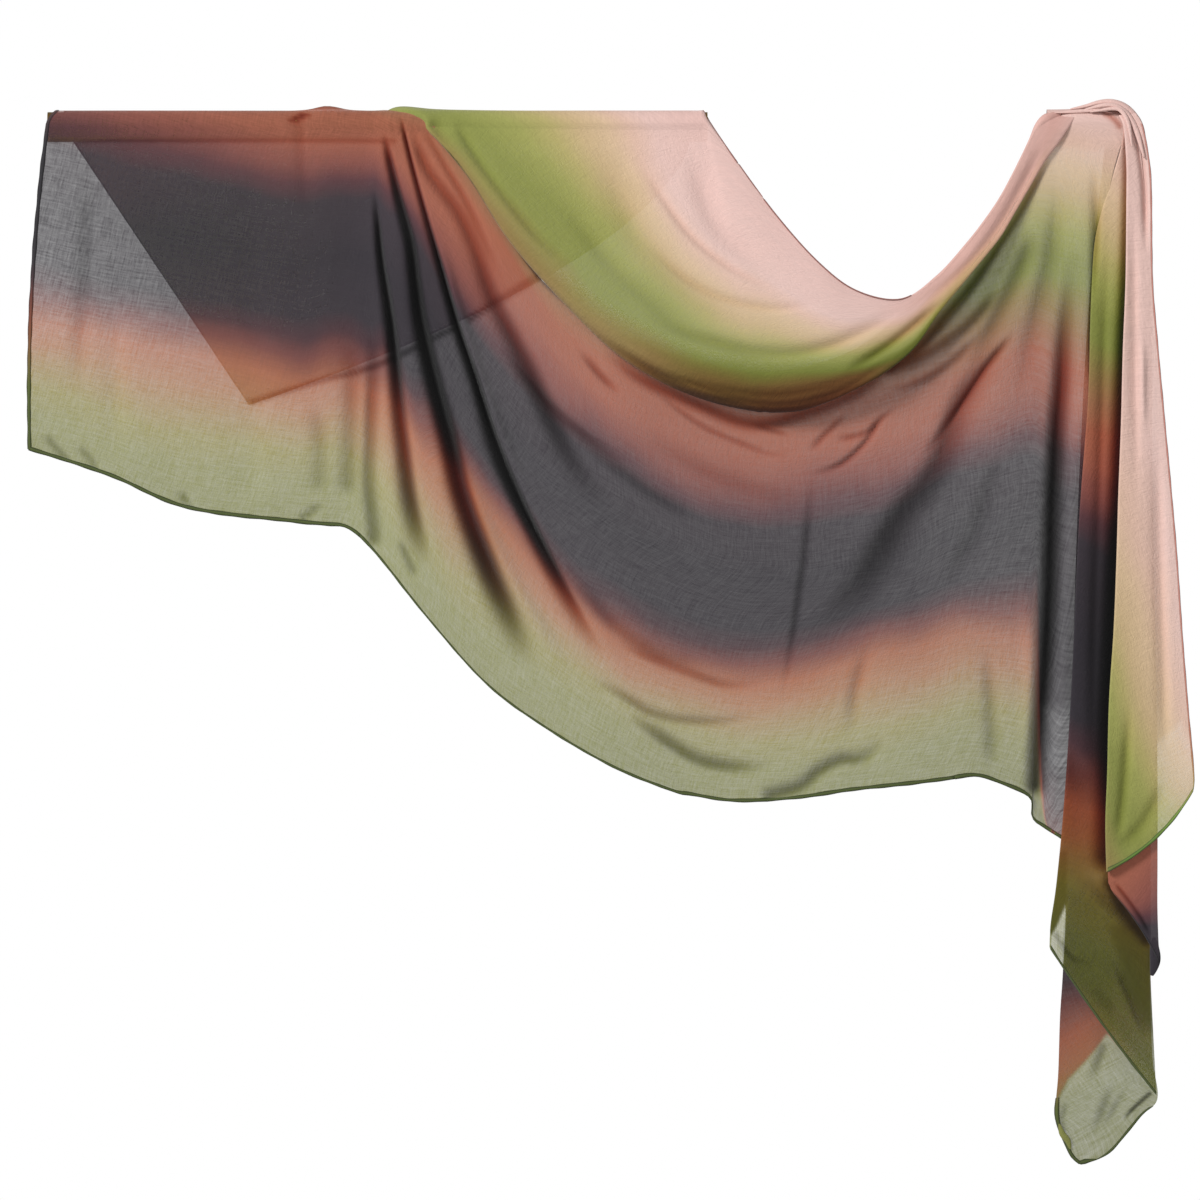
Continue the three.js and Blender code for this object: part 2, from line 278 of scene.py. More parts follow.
@dataclass
class Cloth:
    """A grid of points on a stretch of cloth, with its place in the cut."""

    points: np.ndarray  # sections x steps x 3, mm
    across: np.ndarray  # sections x steps, mm from the pink edge
    cover: np.ndarray  # sections x steps
    layers: np.ndarray  # sections x steps, how much deeper the dye looks: cloth lying in layers, and painted shade
    normals: np.ndarray | None = None
    lengthways: np.ndarray | None = None  # sections x steps, mm along the stripes

    def settle(self) -> None:
        """Work out the normals and the places along the cut, once the shape is done."""
        right, down = np.gradient(self.points, axis=0), np.gradient(self.points, axis=1)
        self.normals = unit(np.cross(down, right))
        self.lengthways = self.along()

    def columns(self, keep: slice | np.ndarray) -> Cloth:
        """Take some of the sections as a stretch of their own.

        Args:
            keep: Which sections.

        Returns:
            The stretch, with the whole cloth's normals and places.
        """
        return Cloth(*(rows[keep] for rows in vars(self).values()))

    def sink(self, creases: tuple[Crease, ...], until: int | None = None) -> None:
        """Press creases into the cloth.

        Args:
            creases: The creases.
            until: The step at which they stop, or none for the last.
        """
        points, layers = self.points[:, :until], self.layers[:, :until]
        x, z = points[..., 0].copy(), points[..., 2].copy()
        for crease in creases:
            share = crease.share(x, z)
            points[..., 1] += crease.depth * share
            layers += crease.layers * share

    def clear(self, veils: tuple[Veil, ...]) -> None:
        """Change how much light the cloth stops, region by region."""
        x, z = self.points[..., 0], self.points[..., 2]
        for veil in veils:
            inside = veil.inside(x, z)
            self.cover += (veil.cover - self.cover) * inside
            # inside a veil the dye deepens for extra layers and for painted shade
            self.layers += (veil.layers - self.layers) * inside
            self.across += veil.tuck * inside

    def ripple(self, height: float, length: float, seed: float) -> None:
        """Add a slight unevenness that hanging cloth always has.

        Args:
            height: How far the ripples stand, in mm.
            length: How long they are, in mm.
            seed: Shifts the pattern.
        """
        x, z = self.points[..., 0] / length, self.points[..., 2] / length
        wave = np.zeros(x.shape)
        for k in range(1, 6):
            turn = 2.4 * k + seed
            way = x * math.cos(turn) + 0.45 * z * math.sin(turn)
            wave += np.sin(6.28 * way * (0.6 + 0.37 * k) + 1.7 * k * seed) / k
        self.points[..., 1] += height * wave

    def along(self) -> np.ndarray:
        """Work out each point's place along the cut's length.

        Returns:
            The places in mm, measured along the stripes.
        """
        p, v = self.points, self.across
        ds, dt = np.gradient(p, axis=0), np.gradient(p, axis=1)
        vs, vt = np.gradient(v, axis=0), np.gradient(v, axis=1)
        ss, st, tt = (ds * ds).sum(-1), (ds * dt).sum(-1), (dt * dt).sum(-1)
        det = np.maximum(ss * tt - st * st, 1e-6)
        rise = ds * ((tt * vs - st * vt) / det)[..., None]
        rise = rise + dt * ((ss * vt - st * vs) / det)[..., None]
        stripe = unit(np.cross(unit(np.cross(dt, ds)), unit(rise)))
        step_s = (np.diff(p, axis=0) * (stripe[1:] + stripe[:-1]) / 2).sum(-1)
        step_t = (np.diff(p[0], axis=0) * (stripe[0, 1:] + stripe[0, :-1]) / 2).sum(-1)
        start = np.concatenate([[0.0], np.cumsum(step_t)])
        return np.concatenate([start[None], start[None] + np.cumsum(step_s, axis=0)])


def hem_line(cloth: Cloth, edge: Edge) -> tuple[np.ndarray, np.ndarray, np.ndarray, np.ndarray]:
    """Pick one edge of a stretch for its hem.

    Args:
        cloth: The stretch.
        edge: Which edge.

    Returns:
        The edge's points, its places across the cut, the way into the cloth
        and the cloth's normal there.
    """
    p, v = cloth.points, cloth.across
    if edge in (Edge.FIRST, Edge.LAST):
        i, k = (0, 1) if edge is Edge.FIRST else (-1, -2)
        line, inner, place = p[i], p[k], v[i]
    else:
        j, k = (0, 1) if edge is Edge.TOP else (-1, -2)
        line, inner, place = p[:, j], p[:, k], v[:, j]
    run = np.gradient(line, axis=0)
    inward = unit(inner - line)
    return line, place, inward, unit(np.cross(run, inward))


class Edge(Enum):
    """The edges of a stretch of cloth."""

    FIRST = "first section"
    LAST = "last section"
    TOP = "upper ends"
    FOOT = "lower ends"


@dataclass(frozen=True)
class Band:
    """One place across the ombre, with the dye of the cloth and of its hem."""

    at: float  # mm from the pink long edge
    cloth: str
    hem: str


OMBRE = (
    Band(0, "dab6ae", "b9827a"),
    Band(50, "d9b8af", "b47c70"),
    Band(75, "d4b2a0", "a8705a"),
    Band(98, "ccb090", "a08050"),
    Band(122, "bea67e", "8a8a46"),
    Band(143, "aa9f66", "708a3c"),
    Band(165, "959654", "5f7a30"),
    Band(190, "848947", "55702c"),
    Band(210, "838847", "55702c"),
    Band(235, "8e7a4c", "5a5a2c"),
    Band(262, "986d4f", "6a4a30"),
    Band(290, "9f5f48", "6b3a25"),
    Band(330, "995b49", "6a3828"),
    Band(358, "814c44", "4a2c28"),
    Band(380, "58373b", "302426"),
    Band(402, "383137", "222024"),
    Band(470, "2f2b31", "1e1c20"),
    Band(532, "322d33", "242024"),
    Band(552, "472f34", "38262a"),
    Band(572, "73443e", "5a3028"),
    Band(598, "a0654a", "6b3a28"),
    Band(626, "a06f4b", "6a4628"),
    Band(650, "957a49", "5e5228"),
    Band(676, "898142", "485120"),
    Band(708, "7f7f46", "424c20"),
    Band(750, "777a42", "3e481d"),
)


def linear(code: str) -> tuple[float, float, float, float]:
    """Turn a hexadecimal dye code into a linear colour."""
    parts = [int(code[k : k + 2], 16) / 255 for k in (0, 2, 4)]
    rgb = [c / 12.92 if c <= 0.04045 else ((c + 0.055) / 1.055) ** 2.4 for c in parts]
    return (*rgb, 1.0)


# ------------------------------------------------------------------ finishes


class Nodes:
    """A short way to add and join the nodes of one tree."""

    def __init__(self, tree: bpy.types.NodeTree) -> None:
        """Start with an empty tree."""
        self.tree = tree
        tree.nodes.clear()

    def add(self, kind: str, inputs: dict | None = None, **settings: object) -> bpy.types.Node:
        """Add a node, set it up and join its inputs.

        Args:
            kind: The node's type name.
            inputs: A value or another node's socket for each named input.
            settings: Properties of the node itself.

        Returns:
            The node.
        """
        node = self.tree.nodes.new(kind)
        for name, value in settings.items():
            setattr(node, name, value)
        for key, value in (inputs or {}).items():
            socket = node.inputs[key]
            if isinstance(value, Socket):
                self.tree.links.new(value, socket)
            else:
                socket.default_value = value
        return node

    def math(self, operation: str, a: object, b: object = 0.0, clamp: bool = False) -> Socket:
        """Join two numbers with one operation and return the result's socket."""
        node = self.add("ShaderNodeMath", {0: a, 1: b}, operation=operation, use_clamp=clamp)
        return node.outputs[0]

    def noise(self, place: Socket, scale: float, detail: float, distortion: float = 0.0) -> Socket:
        """Add a noise and return its strength's socket."""
        inputs = {"Vector": place, "Scale": scale, "Detail": detail, "Distortion": distortion}
        return self.add("ShaderNodeTexNoise", inputs).outputs["Fac"]

    def stretch(self, place: Socket, sizes: tuple[float, float, float]) -> Socket:
        """Scale a place along each axis and return the result's socket."""
        node = self.add("ShaderNodeVectorMath", {0: place, 1: sizes}, operation="MULTIPLY")
        return node.outputs[0]

    def shade(self, colour: Socket, amount: Socket) -> Socket:
        """Make a colour lighter or darker and return the result's socket."""
        node = self.add("ShaderNodeVectorMath", {0: colour, "Scale": amount}, operation="SCALE")
        return node.outputs[0]

    def attribute(self, name: str) -> Socket:
        """Read a number that is stored on the mesh."""
        return self.add("ShaderNodeAttribute", attribute_name=name).outputs["Fac"]

    def bump(self, height: Socket, strength: float, distance: float) -> Socket:
        """Turn a height into a normal and return its socket."""
        inputs = {"Height": height, "Strength": strength, "Distance": distance}
        return self.add("ShaderNodeBump", inputs).outputs[0]

    def surface(self, inputs: dict) -> None:
        """Add the surface's shader and the tree's output."""
        shader = self.add("ShaderNodeBsdfPrincipled", inputs)
        self.add("ShaderNodeOutputMaterial", {"Surface": shader.outputs[0]})


def start_material(name: str) -> tuple[bpy.types.Material, Nodes]:
    """Make an empty material and return it with its tree."""
    material = bpy.data.materials.new(name)
    material.use_nodes = True
    return material, Nodes(material.node_tree)


def dye_ramp(nodes: Nodes, across: Socket, hem: bool) -> Socket:
    """Colour a place across the cut.

    Args:
        nodes: The tree to build in.
        across: The place from the pink edge, in metres.
        hem: True for the hem's deeper dyes.

    Returns:
        The socket that holds the colour.
    """
    share = nodes.math("DIVIDE", across, CUT_WIDTH * MM, clamp=True)
    dyes = nodes.add("ShaderNodeValToRGB", {0: share})
    stops = dyes.color_ramp.elements
    while len(stops) < len(OMBRE):
        stops.new(0.5)
    for stop, band in zip(stops, OMBRE):
        stop.position = band.at / CUT_WIDTH
    for stop, band in zip(stops, OMBRE):
        stop.color = linear(band.hem if hem else band.cloth)
    return dyes.outputs["Color"]


def weave_group() -> bpy.types.NodeTree:
    """Build the crinkled slub weave as a shader node group.

    Returns:
        The group: a place on the cloth goes in, and the threads' closeness and
        height come out.
    """
    fine_thread, fine_run = 900, 90  # noise cells a metre, across and along a thread
    slub, slub_run = 420, 26
    thread_share, crinkles, crinkle_height = 0.25, 170.0, 2.2
    group = bpy.data.node_groups.new("slub_weave", "ShaderNodeTree")
    make = group.interface.new_socket
    make(name="Vector", in_out="INPUT", socket_type="NodeSocketVector")
    make(name="Threads", in_out="OUTPUT", socket_type="NodeSocketFloat")
    make(name="Height", in_out="OUTPUT", socket_type="NodeSocketFloat")
    nodes = Nodes(group)
    place = nodes.add("NodeGroupInput").outputs["Vector"]
    pairs = []
    for across, along in ((fine_thread, fine_run), (slub, slub_run)):
        weft = nodes.noise(nodes.stretch(place, (along, across, 0)), 1.0, 1.0)
        warp = nodes.noise(nodes.stretch(place, (across, along, 0)), 1.0, 1.0)
        pairs.append(nodes.math("ADD", weft, warp))
    fine, slubs = (nodes.math("MULTIPLY", pair, thread_share) for pair in pairs)
    limits = {"From Min": 0.36, "From Max": 0.64, "To Min": 0.0, "To Max": 1.0}
    mixed = nodes.math("ADD", fine, slubs)
    threads = nodes.add("ShaderNodeMapRange", {"Value": mixed, **limits})
    crinkle = nodes.math("MULTIPLY", nodes.noise(place, crinkles, 2.0, 1.6), crinkle_height)
    height = nodes.math("ADD", pairs[0], crinkle)
    nodes.add("NodeGroupOutput", {"Threads": threads.outputs[0], "Height": height})
    return group


@dataclass(frozen=True)
class ClothFinish:
    """The dyed, sheer slub cloth itself."""

    name: str = "ombre_cloth"
    mottle: float = 0.1  # how much darker the gaps between threads are dyed
    openness: float = 1.1  # how much more light goes through between threads
    drift: float = 0.03  # m, how unevenly the dye runs across the cut
    roughness: float = 0.86

    def build(self, weave: bpy.types.NodeTree) -> bpy.types.Material:
        """Make the material.

        Args:
            weave: The weave's node group.

        Returns:
            The material.
        """
        material, nodes = start_material(self.name)
        place = nodes.add("ShaderNodeUVMap", uv_map="cut").outputs["UV"]
        across = nodes.add("ShaderNodeSeparateXYZ", {0: place}).outputs["Y"]
        cloth = nodes.add("ShaderNodeGroup", {"Vector": place}, node_tree=weave)
        threads = cloth.outputs["Threads"]
        uneven = nodes.math("SUBTRACT", nodes.noise(place, 9.0, 2.0), 0.5)
        shift = nodes.math("MULTIPLY", uneven, self.drift)
        dye = dye_ramp(nodes, nodes.math("ADD", across, shift), hem=False)
        level = nodes.math("MULTIPLY", nodes.math("SUBTRACT", threads, 0.5), self.mottle)
        colour = nodes.shade(dye, nodes.math("ADD", level, 1.0))
        # painted shade: the stored number deepens the dye in creases, under the roll and beside the tails,
        # as well as where the cloth lies in layers
        depth = nodes.math("ADD", nodes.attribute("layers"), 1.0)
        deep = nodes.add("ShaderNodeGamma", {"Color": colour, "Gamma": depth})
        gaps = nodes.math("POWER", nodes.math("SUBTRACT", 1.0, nodes.attribute("cover")), depth)
        spread = nodes.math("MULTIPLY", nodes.math("SUBTRACT", 0.5, threads), self.openness)
        holes = nodes.math("MULTIPLY", gaps, nodes.math("ADD", spread, 1.0))
        closed = nodes.math("SUBTRACT", 1.0, holes, clamp=True)
        inside = nodes.add("ShaderNodeNewGeometry").outputs["Backfacing"]
        nodes.surface(
            {
                "Base Color": deep.outputs[0],
                "Roughness": self.roughness,
                "Alpha": nodes.math("MULTIPLY", closed, nodes.math("SUBTRACT", 1.0, inside)),
                "Normal": nodes.bump(cloth.outputs["Height"], 0.45, 0.0007),
                "Sheen Weight": 0.15,
                "Specular IOR Level": 0.2,
            }
        )
        return material


@dataclass(frozen=True)
class HemFinish:
    """The rolled hem: its deeper dye and stitches, dark lines along both sides that are partly painted
    shade, and a painted highlight on top.
    """

    name: str = "rolled_hem"
    stitch: float = 0.0032  # m along the hem
    lines_and_shading: tuple[tuple[float, float], ...] = (  # part of the way round, and how light: dark sides partly painted shade, and a painted highlight on the middle
        (0.0, 0.5), (0.2, 0.55), (0.42, 1.35), (0.68, 1.1), (0.9, 0.5)
    )

    def build(self) -> bpy.types.Material:
        """Make the material and return it."""
        material, nodes = start_material(self.name)
        place = nodes.add("ShaderNodeUVMap", uv_map="cut").outputs["UV"]
        parts = nodes.add("ShaderNodeSeparateXYZ", {0: place})
        dye = dye_ramp(nodes, nodes.attribute("across"), hem=True)
        # painted shade at the roll's sides and a painted highlight along its middle
        lines_and_shading = nodes.add("ShaderNodeValToRGB", {0: parts.outputs["Y"]})
        stops = lines_and_shading.color_ramp.elements
        while len(stops) < len(self.lines_and_shading):
            stops.new(0.5)
        for stop, (at, grey) in zip(stops, self.lines_and_shading):
            stop.position = at
            stop.color = (grey, grey, grey, 1.0)
        stitch = nodes.math("SINE", nodes.math("MULTIPLY", parts.outputs["X"], 6.283 / self.stitch))
        dashes = nodes.math("ADD", nodes.math("MULTIPLY", stitch, 0.015), 1.0)
        shade = nodes.math("MULTIPLY", lines_and_shading.outputs["Color"], dashes)
        nodes.surface(
            {
                "Base Color": nodes.shade(dye, shade),
                "Roughness": 0.85,
                "Normal": nodes.bump(stitch, 0.04, 0.0004),
                "Sheen Weight": 0.1,
            }
        )
        return material


@dataclass(frozen=True)
class BrassFinish:
    """Satin brass with fine turning marks round the bar."""

    name: str = "satin_brass"
    colour: str = "b08a4e"
    dull: float = 0.72  # how dark the duller brass is beside the brighter

    def build(self) -> bpy.types.Material:
        """Make the material and return it."""
        material, nodes = start_material(self.name)
        place = nodes.add("ShaderNodeTexCoord").outputs["Object"]
        marks = nodes.noise(nodes.stretch(place, (2600.0, 60.0, 60.0)), 1.0, 3.0)
        patina = nodes.noise(place, 30.0, 4.0)
        rough = nodes.add("ShaderNodeMapRange", {"Value": marks, "To Min": 0.28, "To Max": 0.46})
        bright = linear(self.colour)
        dull = tuple(self.dull * c for c in bright[:3]) + (1.0,)
        blend = {"Factor": patina, "A": bright, "B": dull}
        colour = nodes.add("ShaderNodeMix", blend, data_type="RGBA")
        nodes.surface(
            {
                "Base Color": colour.outputs["Result"],
                "Metallic": 1.0,
                "Roughness": rough.outputs[0],
                "Normal": nodes.bump(marks, 0.15, 0.0003),
            }
        )
        return material


# ------------------------------------------------------------- cloth to mesh


@dataclass
class Dresser:
    """Makes finished sheets and hems from stretches of cloth."""

    cloth_material: bpy.types.Material
    hem_material: bpy.types.Material

    def sheet(self, name: str, cloth: Cloth) -> bpy.types.Object:
        """Make a thin closed sheet from a stretch of cloth.

        Args:
            name: The new object's name.
            cloth: The stretch, with its sections from left to right.

        Returns:
            The sheet.
        """
        wide, deep = cloth.across.shape
        half = cloth.normals * CLOTH_THICKNESS / 2
        points = np.stack([cloth.points + half, cloth.points - half]).reshape(-1, 3)
        front = np.arange(wide * deep).reshape(wide, deep)
        cells = [front[:-1, :-1], front[:-1, 1:], front[1:, 1:], front[1:, :-1]]
        faces = np.stack(cells, axis=-1).reshape(-1, 4)
        behind = faces[:, [0, 3, 2, 1]] + wide * deep
        border = np.concatenate([front[:-1, 0], front[-1, :-1], front[:0:-1, -1], front[0, :0:-1]])
        after = np.roll(border, -1)
        rim = np.stack([border, after, after + wide * deep, border + wide * deep], axis=-1)
        mesh = bpy.data.meshes.new(name)
        mesh.from_pydata(points * MM, [], np.concatenate([faces, behind, rim]).tolist())
        cut = np.stack([cloth.lengthways, cloth.across], axis=-1).reshape(-1, 2) * MM
        self._map_cut(mesh, np.concatenate([cut, cut]))
        self._store(mesh, "cover", np.tile(np.clip(cloth.cover, 0, 1).reshape(-1), 2))
        self._store(mesh, "layers", np.tile(cloth.layers.reshape(-1), 2))
        mesh.materials.append(self.cloth_material)
        sheet = self._finish(name, mesh)
        facing = cloth.normals.reshape(-1, 3)
        mesh.normals_split_custom_set_from_vertices(np.concatenate([facing, -facing]).tolist())
        return sheet

    def hem(self, name: str, rolls: list[Roll]) -> bpy.types.Object:
        """Roll hems along edges, as one object."""
        return self._tubes(name, rolls, self.hem_material)

    def strands(self, name: str, strands: tuple[Strand, ...]) -> bpy.types.Object:
        """Make narrow folded strands of cloth, as one object."""
        return self._tubes(name, strands, self.cloth_material)

    def _tubes(
        self, name: str, tubes: list[Roll] | tuple[Strand, ...], material: bpy.types.Material
    ) -> bpy.types.Object:
        """Close the rings of hems or strands into tubes, as one object.

        Args:
            name: The new object's name.
            tubes: The hems or strands.
            material: The finish.

        Returns:
            The tubes' object.
        """
        points, faces, cuts, across = [], [], [], []
        for ring, place, cut in (tube.rings() for tube in tubes):
            start = sum(len(block) for block in points)
            count, sides = ring.shape[:2]
            index = start + np.arange(count * sides).reshape(count, sides)
            after = np.roll(index, -1, axis=1)
            cells = np.stack([index[:-1], index[1:], after[1:], after[:-1]], axis=-1)
            faces += cells.reshape(-1, 4).tolist()
            faces += [index[0].tolist(), index[-1][::-1].tolist()]
            points.append(ring.reshape(-1, 3))
            across.append(np.repeat(place, sides))
            cuts.append(cut.reshape(-1, 2))
        mesh = bpy.data.meshes.new(name)
        mesh.from_pydata(np.concatenate(points) * MM, [], faces)
        self._map_cut(mesh, np.concatenate(cuts))
        self._store(mesh, "across", np.concatenate(across) * MM)
        self._store(mesh, "cover", np.ones(len(mesh.vertices)))
        mesh.materials.append(material)
        piece = self._finish(name, mesh)
        bpy.ops.object.select_all(action="DESELECT")
        piece.select_set(True)
        bpy.context.view_layer.objects.active = piece
        bpy.ops.object.mode_set(mode="EDIT")
        bpy.ops.mesh.select_all(action="SELECT")
        bpy.ops.mesh.normals_make_consistent(inside=False)
        bpy.ops.object.mode_set(mode="OBJECT")
        return piece

    @staticmethod
    def _store(mesh: bpy.types.Mesh, name: str, values: np.ndarray) -> None:
        """Store one number for each point of a mesh."""
        layer = mesh.attributes.new(name, "FLOAT", "POINT")
        layer.data.foreach_set("value", values.astype(np.float32))

    @staticmethod
    def _map_cut(mesh: bpy.types.Mesh, cut: np.ndarray) -> None:
        """Store each point's place in the flat cut as the mesh's UV map."""
        layer = mesh.uv_layers.new(name="cut")
        corners = np.zeros(len(mesh.loops), dtype=np.int32)
        mesh.loops.foreach_get("vertex_index", corners)
        layer.data.foreach_set("uv", cut[corners].reshape(-1).astype(np.float32))

    @staticmethod
    def _finish(name: str, mesh: bpy.types.Mesh) -> bpy.types.Object:
        """Put a mesh in the scene, smooth it and let it ride on the body."""
        mesh.shade_smooth()
        piece = bpy.data.objects.new(name, mesh)
        bpy.context.scene.collection.objects.link(piece)
        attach(piece, BODY)
        return piece


def sweep(
    line: np.ndarray,
    inward: np.ndarray,
    normal: np.ndarray,
    wide: np.ndarray,
    thick: np.ndarray,
    sides: int,
) -> tuple[np.ndarray, np.ndarray]:
    """Sweep a flat oval along a line.

    Args:
        line: The line's points.
        inward: The oval's long direction at each point.
        normal: Its short direction.
        wide: Its whole width at each point.
        thick: Its whole thickness at each point.
        sides: How many points go round it.

    Returns:
        The rings of points, and how far round each point lies.
    """
    turn = np.linspace(0, 2 * math.pi, sides, endpoint=False)
    flat = 0.5 * wide[:, None] * np.cos(turn)[None]
    high = 0.5 * thick[:, None] * np.sin(turn)[None]
    rings = line[:, None] + inward[:, None] * flat[..., None] + normal[:, None] * high[..., None]
    return rings, np.broadcast_to(0.5 - 0.5 * np.cos(turn), (len(line), sides))


@dataclass(frozen=True)
class Roll:
    """A narrow rolled hem along one edge of a stretch, in mm."""

    cloth: Cloth
    edge: Edge
    start: float = 0.0  # parts of the edge's length
    end: float = 1.0
    width: float = 4.6
    thick: float = 2.0
    sides: int = 8
    spacing: float = 5.0
    inset: float = 0.3  # how far inside the edge its middle lies, in widths

    def rings(self) -> tuple[np.ndarray, np.ndarray, np.ndarray]:
        """Sweep the hem's flat oval along the edge.

        Returns:
            The rings of points, each ring's place across the cut, and each
            point's place along and round the roll, in metres and parts.
        """
        line, place, inward, normal = hem_line(self.cloth, self.edge)
        run = distances(line)
        ends = run[-1] * self.start, run[-1] * self.end
        at = np.linspace(*ends, max(int((ends[1] - ends[0]) / self.spacing), 4))
        inward, normal = unit(read_line(at, run, inward)), unit(read_line(at, run, normal))
        centre = read_line(at, run, line) + inward * (self.inset * self.width)
        # a hem rolled by hand is a little uneven
        wobble = 1 + 0.1 * np.sin(at * 0.21) + 0.07 * np.sin(at * 0.083 + 1.3)
        thick = np.full(len(at), self.thick)
        rings, share = sweep(centre, inward, normal, self.width * wobble, thick, self.sides)
        cut = np.stack([np.broadcast_to((at * MM)[:, None], share.shape), share], axis=-1)
        return rings, np.interp(at, run, place), cut


@dataclass(frozen=True)
class Strand:
    """A narrow folded strand of cloth that tapers to both ends, in mm.

    path is x, y and z of each of its points in turn.
    """

    path: tuple[float, ...]
    width: float
    thick: float
    place: float = 20.0  # across the cut, from the pink edge
    blunt: float = 0.25  # how full the ends are
    sides: int = 14
    count: int = 60
    hangs: bool = False  # faces forward, not away from the rail

    def rings(self) -> tuple[np.ndarray, np.ndarray, np.ndarray]:
        """Sweep the strand's flat oval along its path.

        Returns:
            The rings of points, each ring's place across the cut, and each
            point's place along and across the cut, in metres.
        """
        line = smooth_line(np.reshape(self.path, (-1, 3)), self.count)
        way = unit(np.gradient(line, axis=0))
        forward = np.broadcast_to(-BACKWARD, line.shape)
        outward = forward if self.hangs else unit(line * np.array([0.0, 1.0, 1.0]))
        outward = unit(outward - (outward * way).sum(-1)[:, None] * way)
        sideways = np.cross(way, outward)
        t = np.linspace(0, 1, self.count)
        full = self.blunt + (1 - self.blunt) * np.sin(math.pi * t) ** 0.8
        rings, share = sweep(line, sideways, outward, self.width * full, self.thick * full, self.sides)
        length = np.linalg.norm(np.diff(line, axis=0), axis=1).sum() * t
        across = self.place + (share - 0.5) * self.width
        cut = np.stack([np.broadcast_to(length[:, None], share.shape), across], axis=-1) * MM
        return rings, np.full(self.count, self.place), cut


def even_places(
    rows: np.ndarray, spacing: float, first: float = 0.0, last: float | None = None, axes: int = 3
) -> np.ndarray:
    """Choose where to cut sections or levels so that they lie evenly spaced.

    Args:
        rows: The table, with the places of both ends of each row first.
        spacing: The distance between two cuts at their wider end, in mm.
        first: The row to start from.
        last: The row to end at, or none for the last one.
        axes: How many numbers give the place of an end.

    Returns:
        Row numbers with fractions.
    """
    fine = np.linspace(first, len(rows) - 1 if last is None else last, 40 * len(rows))
    ends = smooth_rows(rows[:, : 2 * axes], fine)
    one_end = np.linalg.norm(np.diff(ends[:, :axes], axis=0), axis=1)
    other_end = np.linalg.norm(np.diff(ends[:, axes:], axis=0), axis=1)
    run = np.concatenate([[0.0], np.cumsum(np.maximum(one_end, other_end))])
    return np.interp(np.linspace(0, run[-1], int(run[-1] / spacing)), run, fine)


def thin_border(cover: float | np.ndarray, across: np.ndarray) -> np.ndarray:
    """Let more light through towards the sage border."""
    return cover + (SAGE_COVER - cover) * ramp(across, SAGE_START, SAGE_END)


def drape(rows: np.ndarray, places: np.ndarray, steps: int, wrap: int) -> Cloth:
    """Hang cloth through its sections, and over the rail where they reach it.

    Args:
        rows: The table of the sections from left to right.
        places: Where to cut them, as row numbers with fractions.
        steps: Rows of points from the upper ends to the lower ends.
        wrap: Rows of points over a quarter of a rail.

    Returns:
        The stretch of cloth.
    """
    columns = (column[:, None] for column in smooth_rows(rows, places).T)
    x0, z0, y0, x1, z1, y1, bow, v0, v1, dark, clay, cover, turn, ease = columns
    t = np.linspace(0, 1, steps)[None]
    run = np.stack([x1 - x0, z1 - z0], axis=-1)
    side = unit(np.stack([-run[..., 1], run[..., 0]], axis=-1))
    swell = (4 * t * (1 - t) * bow)[..., None]
    flat = np.stack([x0 + 0 * t, z0 + 0 * t], axis=-1) + run * t[..., None] + side * swell
    depth = y0 + (y1 - y0) * np.sin(math.pi / 2 * t)
    hanging = np.stack([flat[..., 0], depth, flat[..., 1]], axis=-1)
    if (dark > 0).any():
        across = stripe_places(t, v0, v1, dark, clay)
    else:
        across = v0 + (v1 - v0) * t**ease
    angle = np.linspace(OVER_RAIL, 0.0, wrap, endpoint=False)[None]
    over_y = y0 + turn * (1 - np.cos(angle))
    over_z = z0 + turn * np.sin(angle)
    over = np.stack([x0 + 0 * angle, over_y, over_z], axis=-1)
    points = np.concatenate([over, hanging], axis=1)
    across = np.concatenate([v0 - turn * angle, across], axis=1)
    return Cloth(points, across, thin_border(cover, across), np.zeros(across.shape))


def stripe_places(
    t: np.ndarray, v0: np.ndarray, v1: np.ndarray, dark: np.ndarray, clay: np.ndarray
) -> np.ndarray:
    """Read the place across the cut down each section.

    Args:
        t: Parts of the way down.
        v0: The place at the upper end, in mm from the pink edge.
        v1: The place at the lower end.
        dark: Where the charcoal stripe starts, or 0 if the section misses it.
        clay: Where the charcoal stripe ends.

    Returns:
        The place for each section and each part of the way down.
    """
    plain = v0 + (v1 - v0) * t
    d, c = np.where(dark > 0, dark, 0.3), np.where(clay > 0, clay, 0.6)
    upper = v0 + (CHARCOAL_START - v0) * t / d
    middle = CHARCOAL_START + (CHARCOAL_END - CHARCOAL_START) * (t - d) / (c - d)
    lower = CHARCOAL_END + (v1 - CHARCOAL_END) * (t - c) / (1 - c)
    return np.where(dark > 0, np.where(t < d, upper, np.where(t < c, middle, lower)), plain)


# ------------------------------------------------------------ the front sheet


@dataclass(frozen=True)
class Stretch:
    """One stretch of the front sheet, between two of its sections.

    flat is the stretch's width and length in the cut, in metres, and area its
    flat area.
    """

    name: str
    first: float
    last: float
    spacing: float
    nodes: tuple[str, ...]
    flat: tuple[float, float]
    area: float


